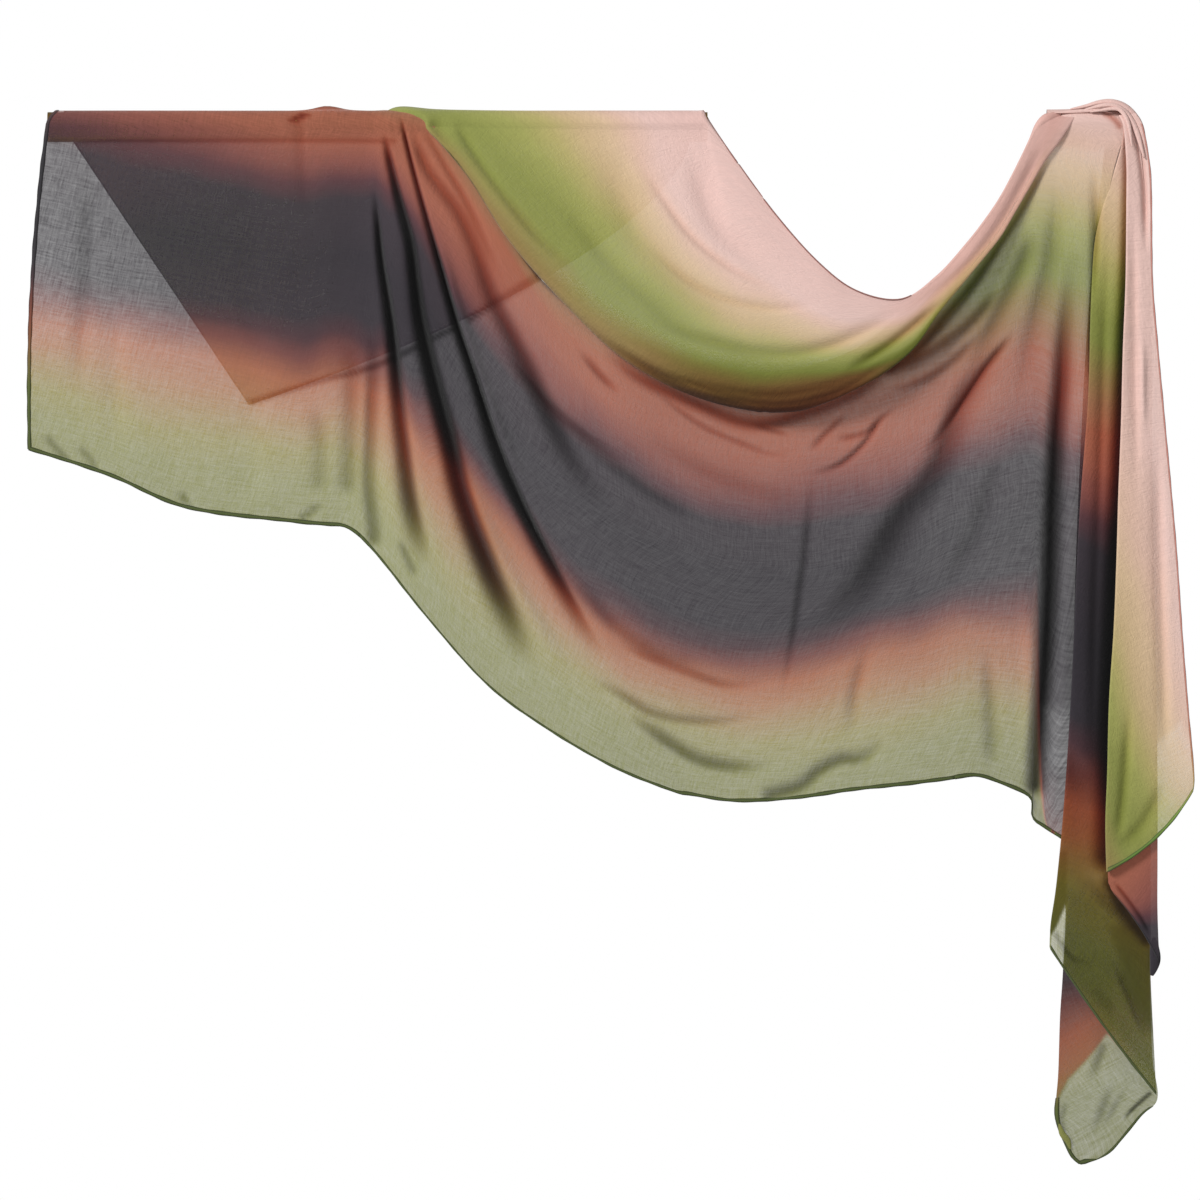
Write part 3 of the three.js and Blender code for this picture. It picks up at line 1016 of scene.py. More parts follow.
@dataclass
class FrontSheet:
    """The sheet in front of both rails: flat panel, pleats, swag, right panel."""

    dresser: Dresser
    steps: int = 182
    wrap: int = 8
    pleat_rise: float = 12.0
    pleat_left: tuple[float, float] = (-35.0, 50.0)  # where the pleats start to stand forward
    pleat_right: tuple[float, float] = (240.0, 420.0)  # where they die out
    pleat_length: float = 450.0
    panel_pull: float = 17.5  # how far the right edge is drawn in near its top
    pull_at: float = 0.16  # part of the way down at which it is drawn in most
    edge_lean: float = 10.0  # how far the left edge leans in on top of the rail
    stretches: tuple[Stretch, ...] = (
        Stretch("left_cloth", 0.0, 5.5, 6.0, ("left_panel",), (0.43, 0.35), 0.13),
        Stretch("middle_cloth", 5.5, 18.3, 4.05, ("pleat_fan", "swag_panel"), (0.75, 0.62), 0.4),
        Stretch("right_cloth", 18.3, 24.0, 3.2, ("right_panel",), (0.75, 0.21), 0.125),
    )
    sections: tuple[Section, ...] = (
        # x0 z0 y0, x1 z1 y1, bow, v0 v1, dark clay, cover, turn
        Section(-351, 0, -17.5, -370, -345, -17, -7, 385, 750, 0.01, 0.5, 0.83, 17.5),
        Section(-273, 0, -17.5, -284, -373, -17, -1, 372, 750, 0.06, 0.52, 0.855, 17.5),
        Section(-187, 0, -17.5, -200, -408, -18, 0, 345, 750, 0.11, 0.51, 0.88, 17.5),
        Section(-85, 0, -17.5, -84, -423, -18, 0, 319, 750, 0.14, 0.56, 0.905, 17.5),
        Section(-52, 0, -18.5, -52, -426, -19, 0, 314, 750, 0.14, 0.54, 0.92, 22.5),
        Section(-28, 0, -18.5, -27, -430, -20, 0, 310, 750, 0.14, 0.54, 0.94, 18.5),
        Section(-10, 0, -17.5, 1, -456, -22, 0, 306, 750, 0.13, 0.54, 0.95, 17.5),
        Section(0, 0, -17.5, 59, -528, -27, -15, 302, 750, 0.11, 0.46, 0.955, 17.5),
        Section(9, 0, -18.5, 120, -596, -31, -21, 297, 750, 0.12, 0.49, 0.96, 18),
        Section(16, 0, -19.5, 182, -642, -33, -26, 293, 750, 0.12, 0.47, 0.96, 18),
        Section(26, 0, -19, 254, -684, -35, -21, 289, 750, 0.18, 0.58, 0.96, 18),
        Section(44, 0, -18.5, 318, -710, -36, -11, 285, 750, 0.32, 0.7, 0.955, 17.5),
        Section(64, -8, -20, 338, -714, -36, -8, 280, 750, 0.36, 0.72, 0.955, 14),
        Section(106, -62, -26, 385, -721, -38, 0, 262, 750, 0.4, 0.73, 0.955, 6),
        Section(180, -172, -30, 449, -718, -40, 0, 257, 750, 0.35, 0.72, 0.955, 6),
        Section(264, -228, -32, 504, -710, -42, 0, 257, 750, 0.37, 0.7, 0.955, 6),
        Section(378, -264, -32, 540, -706, -42, 0, 257, 750, 0.35, 0.65, 0.955, 6),
        Section(450, -265, -32, 578, -702, -42, 0, 257, 750, 0.34, 0.62, 0.95, 6),
        Section(522, -239, -32, 610, -698, -40, 0, 245, 750, 0.35, 0.63, 0.945, 6),
        Section(588, -183, -30, 642, -694, -38, 0, 205, 750, 0.36, 0.64, 0.93, 6),
        Section(653, -137, -27, 669, -702, -34, 0, 170, 750, 0.38, 0.65, 0.925, 6),
        Section(696, -73, -22, 700, -717, -30, 0, 130, 750, 0.41, 0.67, 0.925, 6),
        Section(722, -19, -19, 703, -739, -27, 0, 80, 750, 0.45, 0.69, 0.92, 16),
        Section(744, 0, -18.5, 716, -749, -25, 0, 60, 750, 0.47, 0.98, 0.92, 18.5),
        Section(806, 0, -19.5, 743, -766, -25, 0, 48, 750, 0.48, 0.98, 0.92, 19),
    )
    # the pleats' dark troughs: real depth, darkened further with painted shade
    pleats: tuple[Crease, ...] = (
        Crease((-6, -209, -1, -245, -4, -331, -5, -382, 0, -432, -1, -452), 6, 7, 0.45, 1, (0.4, 0.05)),
        Crease((-1, -62, 4, -102, 9, -147, 20, -217, 27, -294, 33, -346, 40, -399, 51, -446, 61, -474),
               12, 7, 1.2, 1.8, (0.15, 0.2), (0.5, 1.8)),
        Crease((10, -4, 18, -41, 27, -78, 39, -124, 45, -169, 52, -217, 68, -285, 81, -335, 96, -397,
                123, -471, 150, -533, 171, -583), 15, 9.5, 2.2, 1.4, (0.06, 0.25), (0.4, 1.5)),
        Crease((28, 14, 39, -33, 55, -92, 71, -147, 91, -217, 108, -266, 127, -327, 152, -389, 188, -464,
                226, -534, 249, -572), 12, 6, 1.7, 2.6, (0.05, 0.25), (0.45, 1.7)),
        Crease((40, -1, 57, -45, 90, -91, 110, -134, 127, -183, 149, -226, 166, -261, 204, -343,
                241, -396, 269, -414), 8, 9, 0.5, 1.2, (0.08, 0.35), (0.6, 1.4)),
        Crease((27, -440, 37, -463, 46, -482), 3, 5, 0.3, 1.4, (0.3, 0.2)),
        Crease((52, -1, 76, -41, 100, -83, 123, -134, 144, -185), 4, 6, 0.25, 1.5, (0.1, 0.5), (0.6, 1.2)),
        Crease((134, -233, 182, -292, 232, -335, 284, -365), 4, 6, 0.25, 1.2, (0.3, 0.4)),
        Crease((78, -324, 102, -391, 134, -463, 177, -538, 209, -592), -5, 10, 0, 1, (0.4, 0.3)),
        Crease((70, -121, 87, -185, 112, -262, 139, -335, 171, -404), -4, 5, 0, 1, (0.2, 0.3)),
        Crease((102, -292, 134, -367, 177, -442, 219, -506), 3, 5, 0.3, 1, (0.4, 0.4)),
    )
    swag_folds: tuple[Crease, ...] = (
        Crease((674, -223, 656, -251, 628, -293, 609, -346, 590, -381, 566, -410, 542, -450, 519, -489,
                487, -526, 455, -557), 8, 11, 0.4, 0.7, (0.2, 0.4), (0.8, 1.4)),
        Crease((685, -219, 655, -254, 631, -288, 612, -315, 601, -333, 582, -356),
               4, 3.5, 0.6, 0.8, (0.2, 0.4)),
        Crease((673, -342, 659, -381, 642, -433, 618, -479, 598, -506), 4, 9, 0.1, 0.7, (0.3, 0.4)),
        Crease((468, -367, 460, -447, 455, -485, 444, -560, 433, -624), 2, 3.5, 0.25, 0.8, (0.3, 0.4)),
        Crease((507, -301, 493, -317, 477, -334, 464, -350), 2.5, 3, 0.3, 0.9, (0.4, 0.3)),
        Crease((562, -294, 539, -315, 525, -337, 498, -361, 464, -373), 4, 3, 0.3, 0.9),
        Crease((540, -311, 528, -326, 510, -332, 491, -335), 2, 3.2, 0.25),
        Crease((297, -280, 325, -303, 357, -324, 392, -339, 425, -351, 455, -355),
               2.5, 3, 0.2, 0.9, (0.3, 0.4)),
        Crease((402, -317, 425, -325, 448, -331), 2, 3.2, 0.2, 1, (0.4, 0.4)),
        Crease((218, -238, 243, -268, 266, -288), 3, 3.5, 0.3, 0.8, (0.4, 0.4)),
        Crease((284, -324, 348, -365, 412, -391, 476, -399), 3, 8, 0.1, 0.8, (0.4, 0.4)),
        Crease((255, -547, 292, -567, 335, -584, 378, -598, 421, -596), 4, 4, 0.3, 0.7, (0.3, 0.4)),
        Crease((229, -586, 263, -607, 297, -627, 330, -635, 378, -636, 415, -627),
               4, 4, 0.35, 0.7, (0.3, 0.4)),
        Crease((269, -627, 306, -653, 343, -676, 378, -685, 412, -685, 432, -676),
               6, 5, 0.5, 0.6, (0.3, 0.4)),
        Crease((410, -719, 454, -707, 477, -689, 500, -678, 523, -675, 551, -651),
               6, 5, 0.5, 0.6, (0.1, 0.4)),
        Crease((530, -549, 514, -602, 508, -656), 3, 7, 0.15, 1, (0.4, 0.4)),
        Crease((198, -421, 241, -474, 294, -517, 358, -538), -3, 12, 0, 1, (0.4, 0.4)),
        Crease((198, -314, 241, -351, 305, -399, 369, -431), 3, 6, 0.15, 0.8, (0.4, 0.4)),
        Crease((198, -463, 251, -528, 305, -565, 369, -581), 3, 6, 0.2, 0.8, (0.4, 0.4)),
        Crease((241, -233, 284, -269, 348, -299, 403, -318, 455, -307, 516, -282, 562, -239),
               4, 6, 0.5, 1, (0.2, 0.1), (1, 1.3)),
    )
    right_folds: tuple[Crease, ...] = (
        Crease((540, -265, 578, -239, 610, -204, 639, -169, 664, -132, 690, -91, 709, -55, 724, -25),
               6, 5, 0.9, 0.8, (0.05, 0.15), (1.3, 0.6)),
        Crease((708, -110, 679, -174, 653, -228, 626, -271), 5, 8, 0.3, 0.7, (0.2, 0.4)),
        Crease((669, -169, 635, -209, 594, -239, 546, -269), 5, 5, 0.45, 0.7, (0.2, 0.25)),
        Crease((653, -217, 621, -247, 583, -271, 540, -284), 4, 4, 0.3, 0.7, (0.3, 0.4)),
        Crease((749, -126, 745, -151, 738, -207, 733, -274, 728, -328, 724, -397, 720, -503, 716, -560,
                709, -640, 705, -720), 13, 9.5, 1.3, 0.8, (0.3, 0.03), (0.8, 0.8)),
        Crease((765, -217, 759, -271, 751, -346, 745, -442, 739, -549, 733, -656, 722, -742),
               -4, 7, 0, 1, (0.3, 0.05)),
        Crease((770, -35, 771, -94, 770, -185), 3, 6, 0.3, 1.2, (0.4, 0.4)),
        Crease((776, 16, 785, 12, 794, 4, 799, -5), 0.8, 3, 1.2, 1, (0.2, 0.2)),
        Crease((775, -67, 773, -126, 769, -196, 765, -292), 5, 5, 0.5, 0.7),
        Crease((733, -57, 722, -142, 701, -228, 685, -314), 4, 9, 0.2, 0.7, (0.3, 0.5)),
        Crease((690, -463, 701, -549, 701, -635, 692, -699), -3, 9, 0, 1, (0.4, 0.3)),
        Crease((653, -549, 658, -613, 660, -688), 3, 8, 0.2, 1, (0.4, 0.2)),
    )
    panel_folds: tuple[Crease, ...] = (
        Crease((-353, -328, -341, -343, -328, -357), 2, 4, 0.3, 1, (0.3, 0.1)),
        Crease((-316, -341, -307, -352, -297, -364), 2, 4, 0.25, 1, (0.3, 0.1)),
        Crease((-209, -388, -204, -397, -199, -406), 2, 4, 0.3, 1, (0.4, 0.1)),
        Crease((-80, -421, -70, -414, -54, -401), 2, 4, 0.3, 1, (0.1, 0.4)),
        Crease((-305, -25, -309, -142, -320, -292), 3, 9, 0.15, 1.3),
        Crease((-273, -121, -277, -228, -275, -367), 2.5, 12, 0, 1.3),
        Crease((-134, -35, -128, -217, -134, -415), 2, 20, 0, 1.3, (0.3, 0.1)),
        Crease((-25, -217, -24, -292, -28, -399), 4, 9, 0.3, 1.2, (0.4, 0.1)),
        Crease((-63, -292, -57, -346, -59, -399), 3, 9, 0.2, 1.2, (0.3, 0.2)),
        Crease((-80, 10, -78, -35, -74, -110), 2, 6, 0.1, 1.5, (0.1, 0.6)),
        Crease((-91, 4, -82, 9, -72, 15), 3, 3.5, 0.9, 1.2, (0.2, 0.1)),
        # a shallow crease where the cloth leaves the rail, darkened with painted shade
        Crease((-352, -15, -187, -15, -48, -15, 27, -16), 0.7, 3, 0.25, 1, (0.02, 0.02)),
    )
    thin: tuple[Veil, ...] = (
        Veil((-380, 29, -380, -12, -48, -12, 64, -5, 64, 29), 0.8, 0.0, 4.0),
        Veil((-91, 34, -91, 18, -11, 18, -11, 34), 1.0, 0.3, 1.5),
        Veil((709, -774, 712, -688, 718, -624, 754, -624, 744, -774), 0.81, 0.1, 16.0),
        Veil((718, 29, 712, -19, 770, -25, 819, -19, 819, 29), 0.99, 0.0, 3.0),
    )
    flap_shadow: tuple[Crease, ...] = (
        Crease((-137, -296, -59, -272, -15, -261, 18, -249, 68, -224, 88, -215),
               0, 3.2, 0.4, 1, (0.02, 0.02)),
        Crease((97, -209, 127, -190, 166, -166, 198, -144), 0, 3.2, 0.4, 1, (0.05, 0.3)),
    )

    def build(self) -> None:
        rows = table(self.sections)
        spans = [even_places(rows, s.spacing, s.first, s.last) for s in self.stretches]
        places = np.concatenate([spans[0], *(span[1:] for span in spans[1:])])
        cloth = drape(rows, places, self.steps, self.wrap)
        self._pull_edge(cloth, places)
        self._raise_pleats(cloth)
        cloth.ripple(height=0.5, length=160, seed=0.7)
        cloth.clear(self.thin)
        folds = self.pleats + self.swag_folds + self.right_folds + self.panel_folds
        cloth.sink(folds + self.flap_shadow)
        cloth.settle()
        start = 0
        for stretch, span in zip(self.stretches, spans):
            part = cloth.columns(slice(start, start + len(span)))
            rolls = [Roll(part, Edge.FOOT)]
            if start == 0:
                rolls.append(Roll(part, Edge.FIRST))
            self._add(stretch, part, rolls)
            start += len(span) - 1

    def _add(self, stretch: Stretch, part: Cloth, rolls: list[Roll]) -> None:
        """Make one stretch and its hems.

        Args:
            stretch: The stretch.
            part: Its grid.
            rolls: Its hems.
        """
        sheet = self.dresser.sheet(stretch.name, part)
        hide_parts(*stretch.nodes)
        hem = self.dresser.hem(f"{stretch.name}_hem", rolls)
        log.info("%s: %d columns of %d points", stretch.name, *part.across.shape)

    def _pull_edge(self, cloth: Cloth, places: np.ndarray) -> None:
        """Draw the right edge in below the twist, and the left one in over the rail."""
        last = len(self.sections) - 1
        down = np.linspace(0, 1, self.steps)[None] / self.pull_at
        pull = self.panel_pull * down * np.exp(1 - down) * ramp(places, last - 2, last)[:, None]
        cloth.points[:, self.wrap :, 0] -= pull
        height = np.maximum(cloth.points[..., 2], 0) / RAIL_REST
        cloth.points[..., 0] += self.edge_lean * height**2 * (1 - ramp(places, 0, 1))[:, None]

    def _raise_pleats(self, cloth: Cloth) -> None:
        """Bring the pleated stretch forward, so that its troughs lie between pleats."""
        x = cloth.points[..., 0]
        down = np.clip(-cloth.points[..., 2] / self.pleat_length, 0, 1)
        rise = ramp(x, *self.pleat_left) * (1 - ramp(x, *self.pleat_right)) * ramp(down, 0.05, 0.3)
        cloth.points[..., 1] -= self.pleat_rise * rise


# -------------------------------------------------------------------- the cowl


@dataclass
class Cowl:
    """The upper fold of the swag, from the rail and the free pink edge down to its roll."""

    dresser: Dresser
    spacing: float = 3.6
    steps: int = 74
    wrap: int = 8
    lip: float = 13.0  # half the depth of the roll at the lower edge, where it is full
    drop: float = 1.8  # how far the roll hangs down, in parts of half its depth
    gathered_shade: float = 0.5  # how much deeper the dye looks down at the roll: gathered layers, and painted shade
    rolled: float = 0.7  # painted shade on the roll itself, as it turns under
    lean: float = 40.0  # how far the left edge leans out on top of the rail
    lip_grows: tuple[float, float] = (40.0, 260.0)  # lengths of section for no lip and a full one
    least_lip: float = 1.5  # added to the lip, and all that is left of it on a short section
    gathers_shade_left: tuple[float, float] = (240.0, 390.0)  # where the gathers and their painted shade start
    gathers_shade_right: tuple[float, float] = (560.0, 640.0)  # where they and their painted shade die out
    roll_rows: int = 15  # rows of points round the roll
    fold_rows: int = 8  # how many of them the folds still reach
    roll_dye: float = 0.35  # how fast the dye runs on round the roll
    free_from: float = 351.0  # the free pink edge, between the rail and the shoulder
    free_to: float = 575.0
    sections: tuple[Section, ...] = (
        # x0 z0 y0, x1 z1 y1, bow, v0 v1, dark clay, cover, turn, ease
        Section(54, 0, -19, 60, -8, -22, 0, 222, 232, 0, 0, 0.97, 17.5),
        Section(59, 0, -22, 72, -20, -28, 0, 220, 232, 0, 0, 0.97, 22),
        Section(76, 0, -20, 104, -60, -42, 0, 210, 234, 0, 0, 0.97, 19),
        Section(108, 0, -18, 143, -122, -54, 0, 193, 236, 0, 0, 0.97, 18),
        Section(155, 0, -17.5, 191, -179, -60, 0, 169, 232, 0, 0, 0.96, 17.5, 1.1),
        Section(209, 0, -17.5, 252, -239, -64, 0, 131, 232, 0, 0, 0.96, 17.5, 1.3),
        Section(262, 0, -17.5, 310, -275, -66, 0, 88, 235, 0, 0, 0.96, 17.5, 1.45),
        Section(307, 0, -17.5, 361, -295, -66, 0, 41, 238, 0, 0, 0.96, 17.5, 2),
        Section(345, 0, -17.5, 408, -305, -66, 0, 6, 242, 0, 0, 0.96, 17.5, 2.3),
        Section(352, 0, -17.5, 417, -305, -66, 0, 0, 243, 0, 0, 0.96, 17, 2.4),
        Section(359, -4, -19, 426, -306, -66, 0, 0, 244, 0, 0, 0.96, 8, 2.4),
        Section(385, -35, -26, 455, -304, -66, 0, 0, 245, 0, 0, 0.96, 0.2, 2.4),
        Section(428, -94, -38, 489, -296, -66, 0, 0, 245, 0, 0, 0.96, 0.2, 2.4),
        Section(473, -145, -48, 523, -279, -66, 0, 0, 240, 0, 0, 0.96, 0.2, 2.2),
        Section(514, -176, -52, 551, -260, -64, 0, 0, 225, 0, 0, 0.96, 0.2, 1.5),
        Section(562, -186, -52, 578, -235, -60, 0, 5, 195, 0, 0, 0.96, 1, 1.3),
        Section(600, -164, -48, 604, -198, -55, 0, 25, 150, 0, 0, 0.96, 4, 1.3),
        Section(632, -129, -42, 643, -150, -50, 0, 30, 100, 0, 0, 0.96, 4, 1.3),
        Section(653, -102, -35, 668, -119, -40, 0, 32, 80, 0, 0, 0.96, 4, 1.3),
        Section(669, -78, -30, 683, -94, -34, 0, 34, 70, 0, 0, 0.96, 4, 1.3),
        Section(685, -48, -26, 700, -65, -29, 0, 34, 64, 0, 0, 0.96, 4, 1.3),
        Section(699, -19, -23.5, 716, -38, -25.5, 0, 30, 58, 0, 0, 0.96, 4, 1.3),
        Section(706, -6, -22, 731, -18, -24, 0, 27, 50, 0, 0, 0.96, 8, 1.2),
        Section(714, 2, -20, 741, -3, -22, 0, 16, 36, 0, 0, 0.96, 10),
        Section(724, 8, -16, 748, 8, -18, 0, 12, 26, 0, 0, 0.96, 8),
        Section(734, 12, -10, 754, 13, -13, 0, 8, 18, 0, 0, 0.96, 5),
    )
    folds: tuple[Crease, ...] = (
        Crease((284, -196, 323, -219, 368, -234, 414, -244, 459, -243, 505, -229, 550, -205, 572, -189),
               5, 5, 0.15, 0.6),
        Crease((337, -14, 369, -110, 455, -174), 4, 11, 0.05, 0.7, (0.3, 0.4)),
        Crease((241, -14, 284, -121, 369, -196, 455, -212), 3, 14, 0.05, 0.8, (0.3, 0.4)),
        Crease((198, -78, 251, -144, 310, -198, 358, -226), 3, 9, 0.05, 0.8),
        Crease((59, 12, 89, -40, 139, -108, 198, -172, 262, -219), 4, 7, 0.08, 0.8, (0.05, 0.5)),
        Crease((86, 5, 118, -46, 177, -121, 241, -174), 3, 5, 0.1, 0.8, (0.1, 0.5)),
        Crease((214, -203, 251, -233, 305, -264, 348, -277, 401, -286, 455, -284, 503, -271, 540, -249),
               4, 3.4, 0.5, 0.8),
        Crease((241, -233, 284, -258, 337, -284, 391, -294, 455, -294, 508, -277, 562, -239),
               4, 3.4, 0.6, 0.8),
        Crease((294, -275, 348, -294, 401, -304, 455, -302, 498, -289), 3, 3.4, 0.6, 0.8),
        Crease((498, -265, 540, -241, 578, -212, 610, -183), 5, 4, 0.5, 0.7),
        Crease((717, -14, 690, -67, 658, -119, 615, -167, 562, -204), 4, 6, 0.1, 1, (0.2, 0.4)),
        Crease((284, -41, 337, -116, 391, -158, 455, -185), 3, 4, 0.12, 1, (0.3, 0.4)),
        # painted shade only: a broad darker band with no trough
        Crease((735, 29, 712, -25, 674, -89, 631, -144, 583, -187, 514, -223), 0, 22, 0.4, 1, (0.05, 0.4)),
        Crease((284, -121, 348, -174, 423, -196, 487, -185), 3, 4, 0.12, 0.8, (0.3, 0.4)),
    )

    def build(self) -> None:
        rows = table(self.sections)
        places = even_places(rows, self.spacing)
        cloth = drape(rows, places, self.steps, self.wrap)
        height = np.maximum(cloth.points[..., 2], 0)
        height /= np.maximum(height.max(axis=1, keepdims=True), 1)
        cloth.points[..., 0] -= self.lean * height**3 * (1 - ramp(places, 0, 3))[:, None]
        self._make_room(cloth)
        cloth.ripple(height=0.4, length=140, seed=1.9)
        # painted shade deepening the dye down towards the roll, over the gathered layers there
        near_roll = ramp(np.linspace(0, 1, self.steps)[None], 0.88, 1.0)
        cloth.layers[:, self.wrap :] += self.gathered_shade * near_roll * self._middle(cloth)[:, None]
        rolled = self._roll_under(cloth)
        rolled.sink(self.folds, until=self.wrap + self.steps + self.fold_rows)
        rolled.settle()
        sheet = self.dresser.sheet("cowl", rolled)
        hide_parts("cowl_on_rail", "cowl_drop", "shoulder_roll")
        x = rolled.points[:, self.wrap, 0]
        free = rolled.columns((x > self.free_from) & (x < self.free_to))
        hem = self.dresser.hem("cowl_hem", [Roll(free, Edge.TOP, width=2.6, thick=1.6)])
        log.info("cowl: %d columns of %d points", *rolled.across.shape)

    def _middle(self, cloth: Cloth) -> np.ndarray:
        """Tell how much of the gathers at the roll, and their painted shade, each column takes."""
        foot = cloth.points[:, -1, 0]
        return ramp(foot, *self.gathers_shade_left) * (1 - ramp(foot, *self.gathers_shade_right))

    def _radius(self, cloth: Cloth) -> np.ndarray:
        """Size the roll at the lower edge: full in the middle, tight at both ends."""
        length = np.linalg.norm(cloth.points[:, -1] - cloth.points[:, self.wrap], axis=1)
        return (self.lip * ramp(length, *self.lip_grows) + self.least_lip)[:, None]

    def _make_room(self, cloth: Cloth) -> None:
        """Shorten each section by the roll's radius, so that the roll ends at its foot."""
        hanging = cloth.points[:, self.wrap :]
        full = np.linalg.norm(hanging[:, -1] - hanging[:, 0], axis=1, keepdims=True)
        share = (self.drop * self._radius(cloth) / full)[..., None]
        top = hanging[:, :1]
        flat = top + (hanging - top) * (1 - share)
        hanging[..., 0], hanging[..., 2] = flat[..., 0], flat[..., 2]

    def _roll_under(self, cloth: Cloth) -> Cloth:
        """Turn the lower edge back and up behind the cowl.

        Args:
            cloth: The cowl down to its lower edge.

        Returns:
            The cowl with its lip.
        """
        foot = cloth.points[:, -1]
        down = unit((foot - cloth.points[:, -6]) * np.array([1.0, 0.0, 1.0]))
        radius = self._radius(cloth)
        fall = self.drop * radius
        edge, deep = cloth.across[:, -1], cloth.layers[:, -1]
        rows, across, layers = [], [], []
        for turn in np.linspace(0, math.pi, self.roll_rows + 1)[1:]:
            behind = BACKWARD * radius * (1 - math.cos(turn))
            rows.append(foot + down * fall * math.sin(turn) + behind)
            across.append(edge + self.roll_dye * fall[:, 0] * turn)
            # painted shade on the roll as it turns under
            layers.append(deep + self.rolled * ramp(turn, 0.4, 1.6) * self._middle(cloth))
        for rise in (0.8, 1.6, 2.4):  # radii up the back, where the cloth ends
            rows.append(foot + BACKWARD * radius * (2 - 0.1 * rise) - down * radius * rise)
            across.append(edge + self.roll_dye * fall[:, 0] * math.pi + radius[:, 0] * rise)
            # the same painted shade up the back of the roll
            layers.append(deep + self.rolled * self._middle(cloth))
        points = np.concatenate([cloth.points, np.stack(rows, axis=1)], axis=1)
        places = np.concatenate([cloth.across, np.stack(across, axis=1)], axis=1)
        fading = np.array([1.0] * self.roll_rows + [0.7, 0.3, 0.0])
        cover = np.concatenate([cloth.cover, cloth.cover[:, -1:] * fading], axis=1)
        depth = np.concatenate([cloth.layers, np.stack(layers, axis=1)], axis=1)
        return Cloth(points, places, cover, depth)


# --------------------------------------------------------------- the back flap


@dataclass
class BackFlap:
    """The flat corner of the cloth that hangs behind the long rail, in mm."""

    dresser: Dresser
    left: float = -333.0
    right: float = 340.0
    corner: tuple[float, float] = (-135.0, -297.0)
    sag: float = 0.56  # how full the right edge hangs; 1 is straight
    cover: float = 0.9
    spacing: float = 5.0
    steps: int = 50
    wrap: int = 8

    def build(self) -> None:
        corner_x, corner_z = self.corner
        left_part = np.linspace(self.left, corner_x, int((corner_x - self.left) / self.spacing))
        right_part = np.linspace(corner_x, self.right, int((self.right - corner_x) / self.spacing))
        x = np.concatenate([left_part[:-1], right_part])[::-1, None]
        right_share = np.clip((self.right - x) / (self.right - corner_x), 0, 1) ** self.sag
        slant = np.minimum((x - self.left) / (corner_x - self.left), right_share)
        z = np.minimum(corner_z * slant, -4.0) * np.linspace(0, 1, self.steps)[None]
        hanging = np.stack([x + 0 * z, RAIL_REST + 0 * z, z], axis=-1)
        turn = np.linspace(OVER_RAIL, 0.0, self.wrap, endpoint=False)[None]
        over_y, over_z = (RAIL_REST * part + 0 * x for part in (np.cos(turn), np.sin(turn)))
        over = np.stack([x + 0 * turn, over_y, over_z], axis=-1)
        points = np.concatenate([over, hanging], axis=1)
        size = points.shape[:2]
        cloth = Cloth(points, self._places(points), np.full(size, self.cover), np.zeros(size))
        cloth.settle()
        sheet = self.dresser.sheet("back_flap_cloth", cloth)
        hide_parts("back_flap")
        hem = self.dresser.hem("back_flap_hem", [Roll(cloth, Edge.FOOT, width=2.6, thick=0.9)])
        log.info("back flap: hangs %.0f mm below the rail", -corner_z)

    def _places(self, points: np.ndarray) -> np.ndarray:
        """Work out the flap's places across the cut from its distance to the pink edge."""
        corner_x, corner_z = self.corner
        edge = unit(np.array([self.right - corner_x, -corner_z]))
        across = (points[..., 2] - corner_z) * edge[0] - (points[..., 0] - corner_x) * edge[1]
        return np.maximum(across, 0.0)


# ------------------------------------------------------------------- the twist


@dataclass(frozen=True)
class Arch:
    """One half oval of the twist over the short rail, in mm.

    top, front and back are its reach from the rail's axis, and turn the angle
    in degrees at which it stops behind the rail.
    """

    x: float
    top: float
    front: float
    back: float
    turn: float
    place: float  # across the cut, from the pink edge


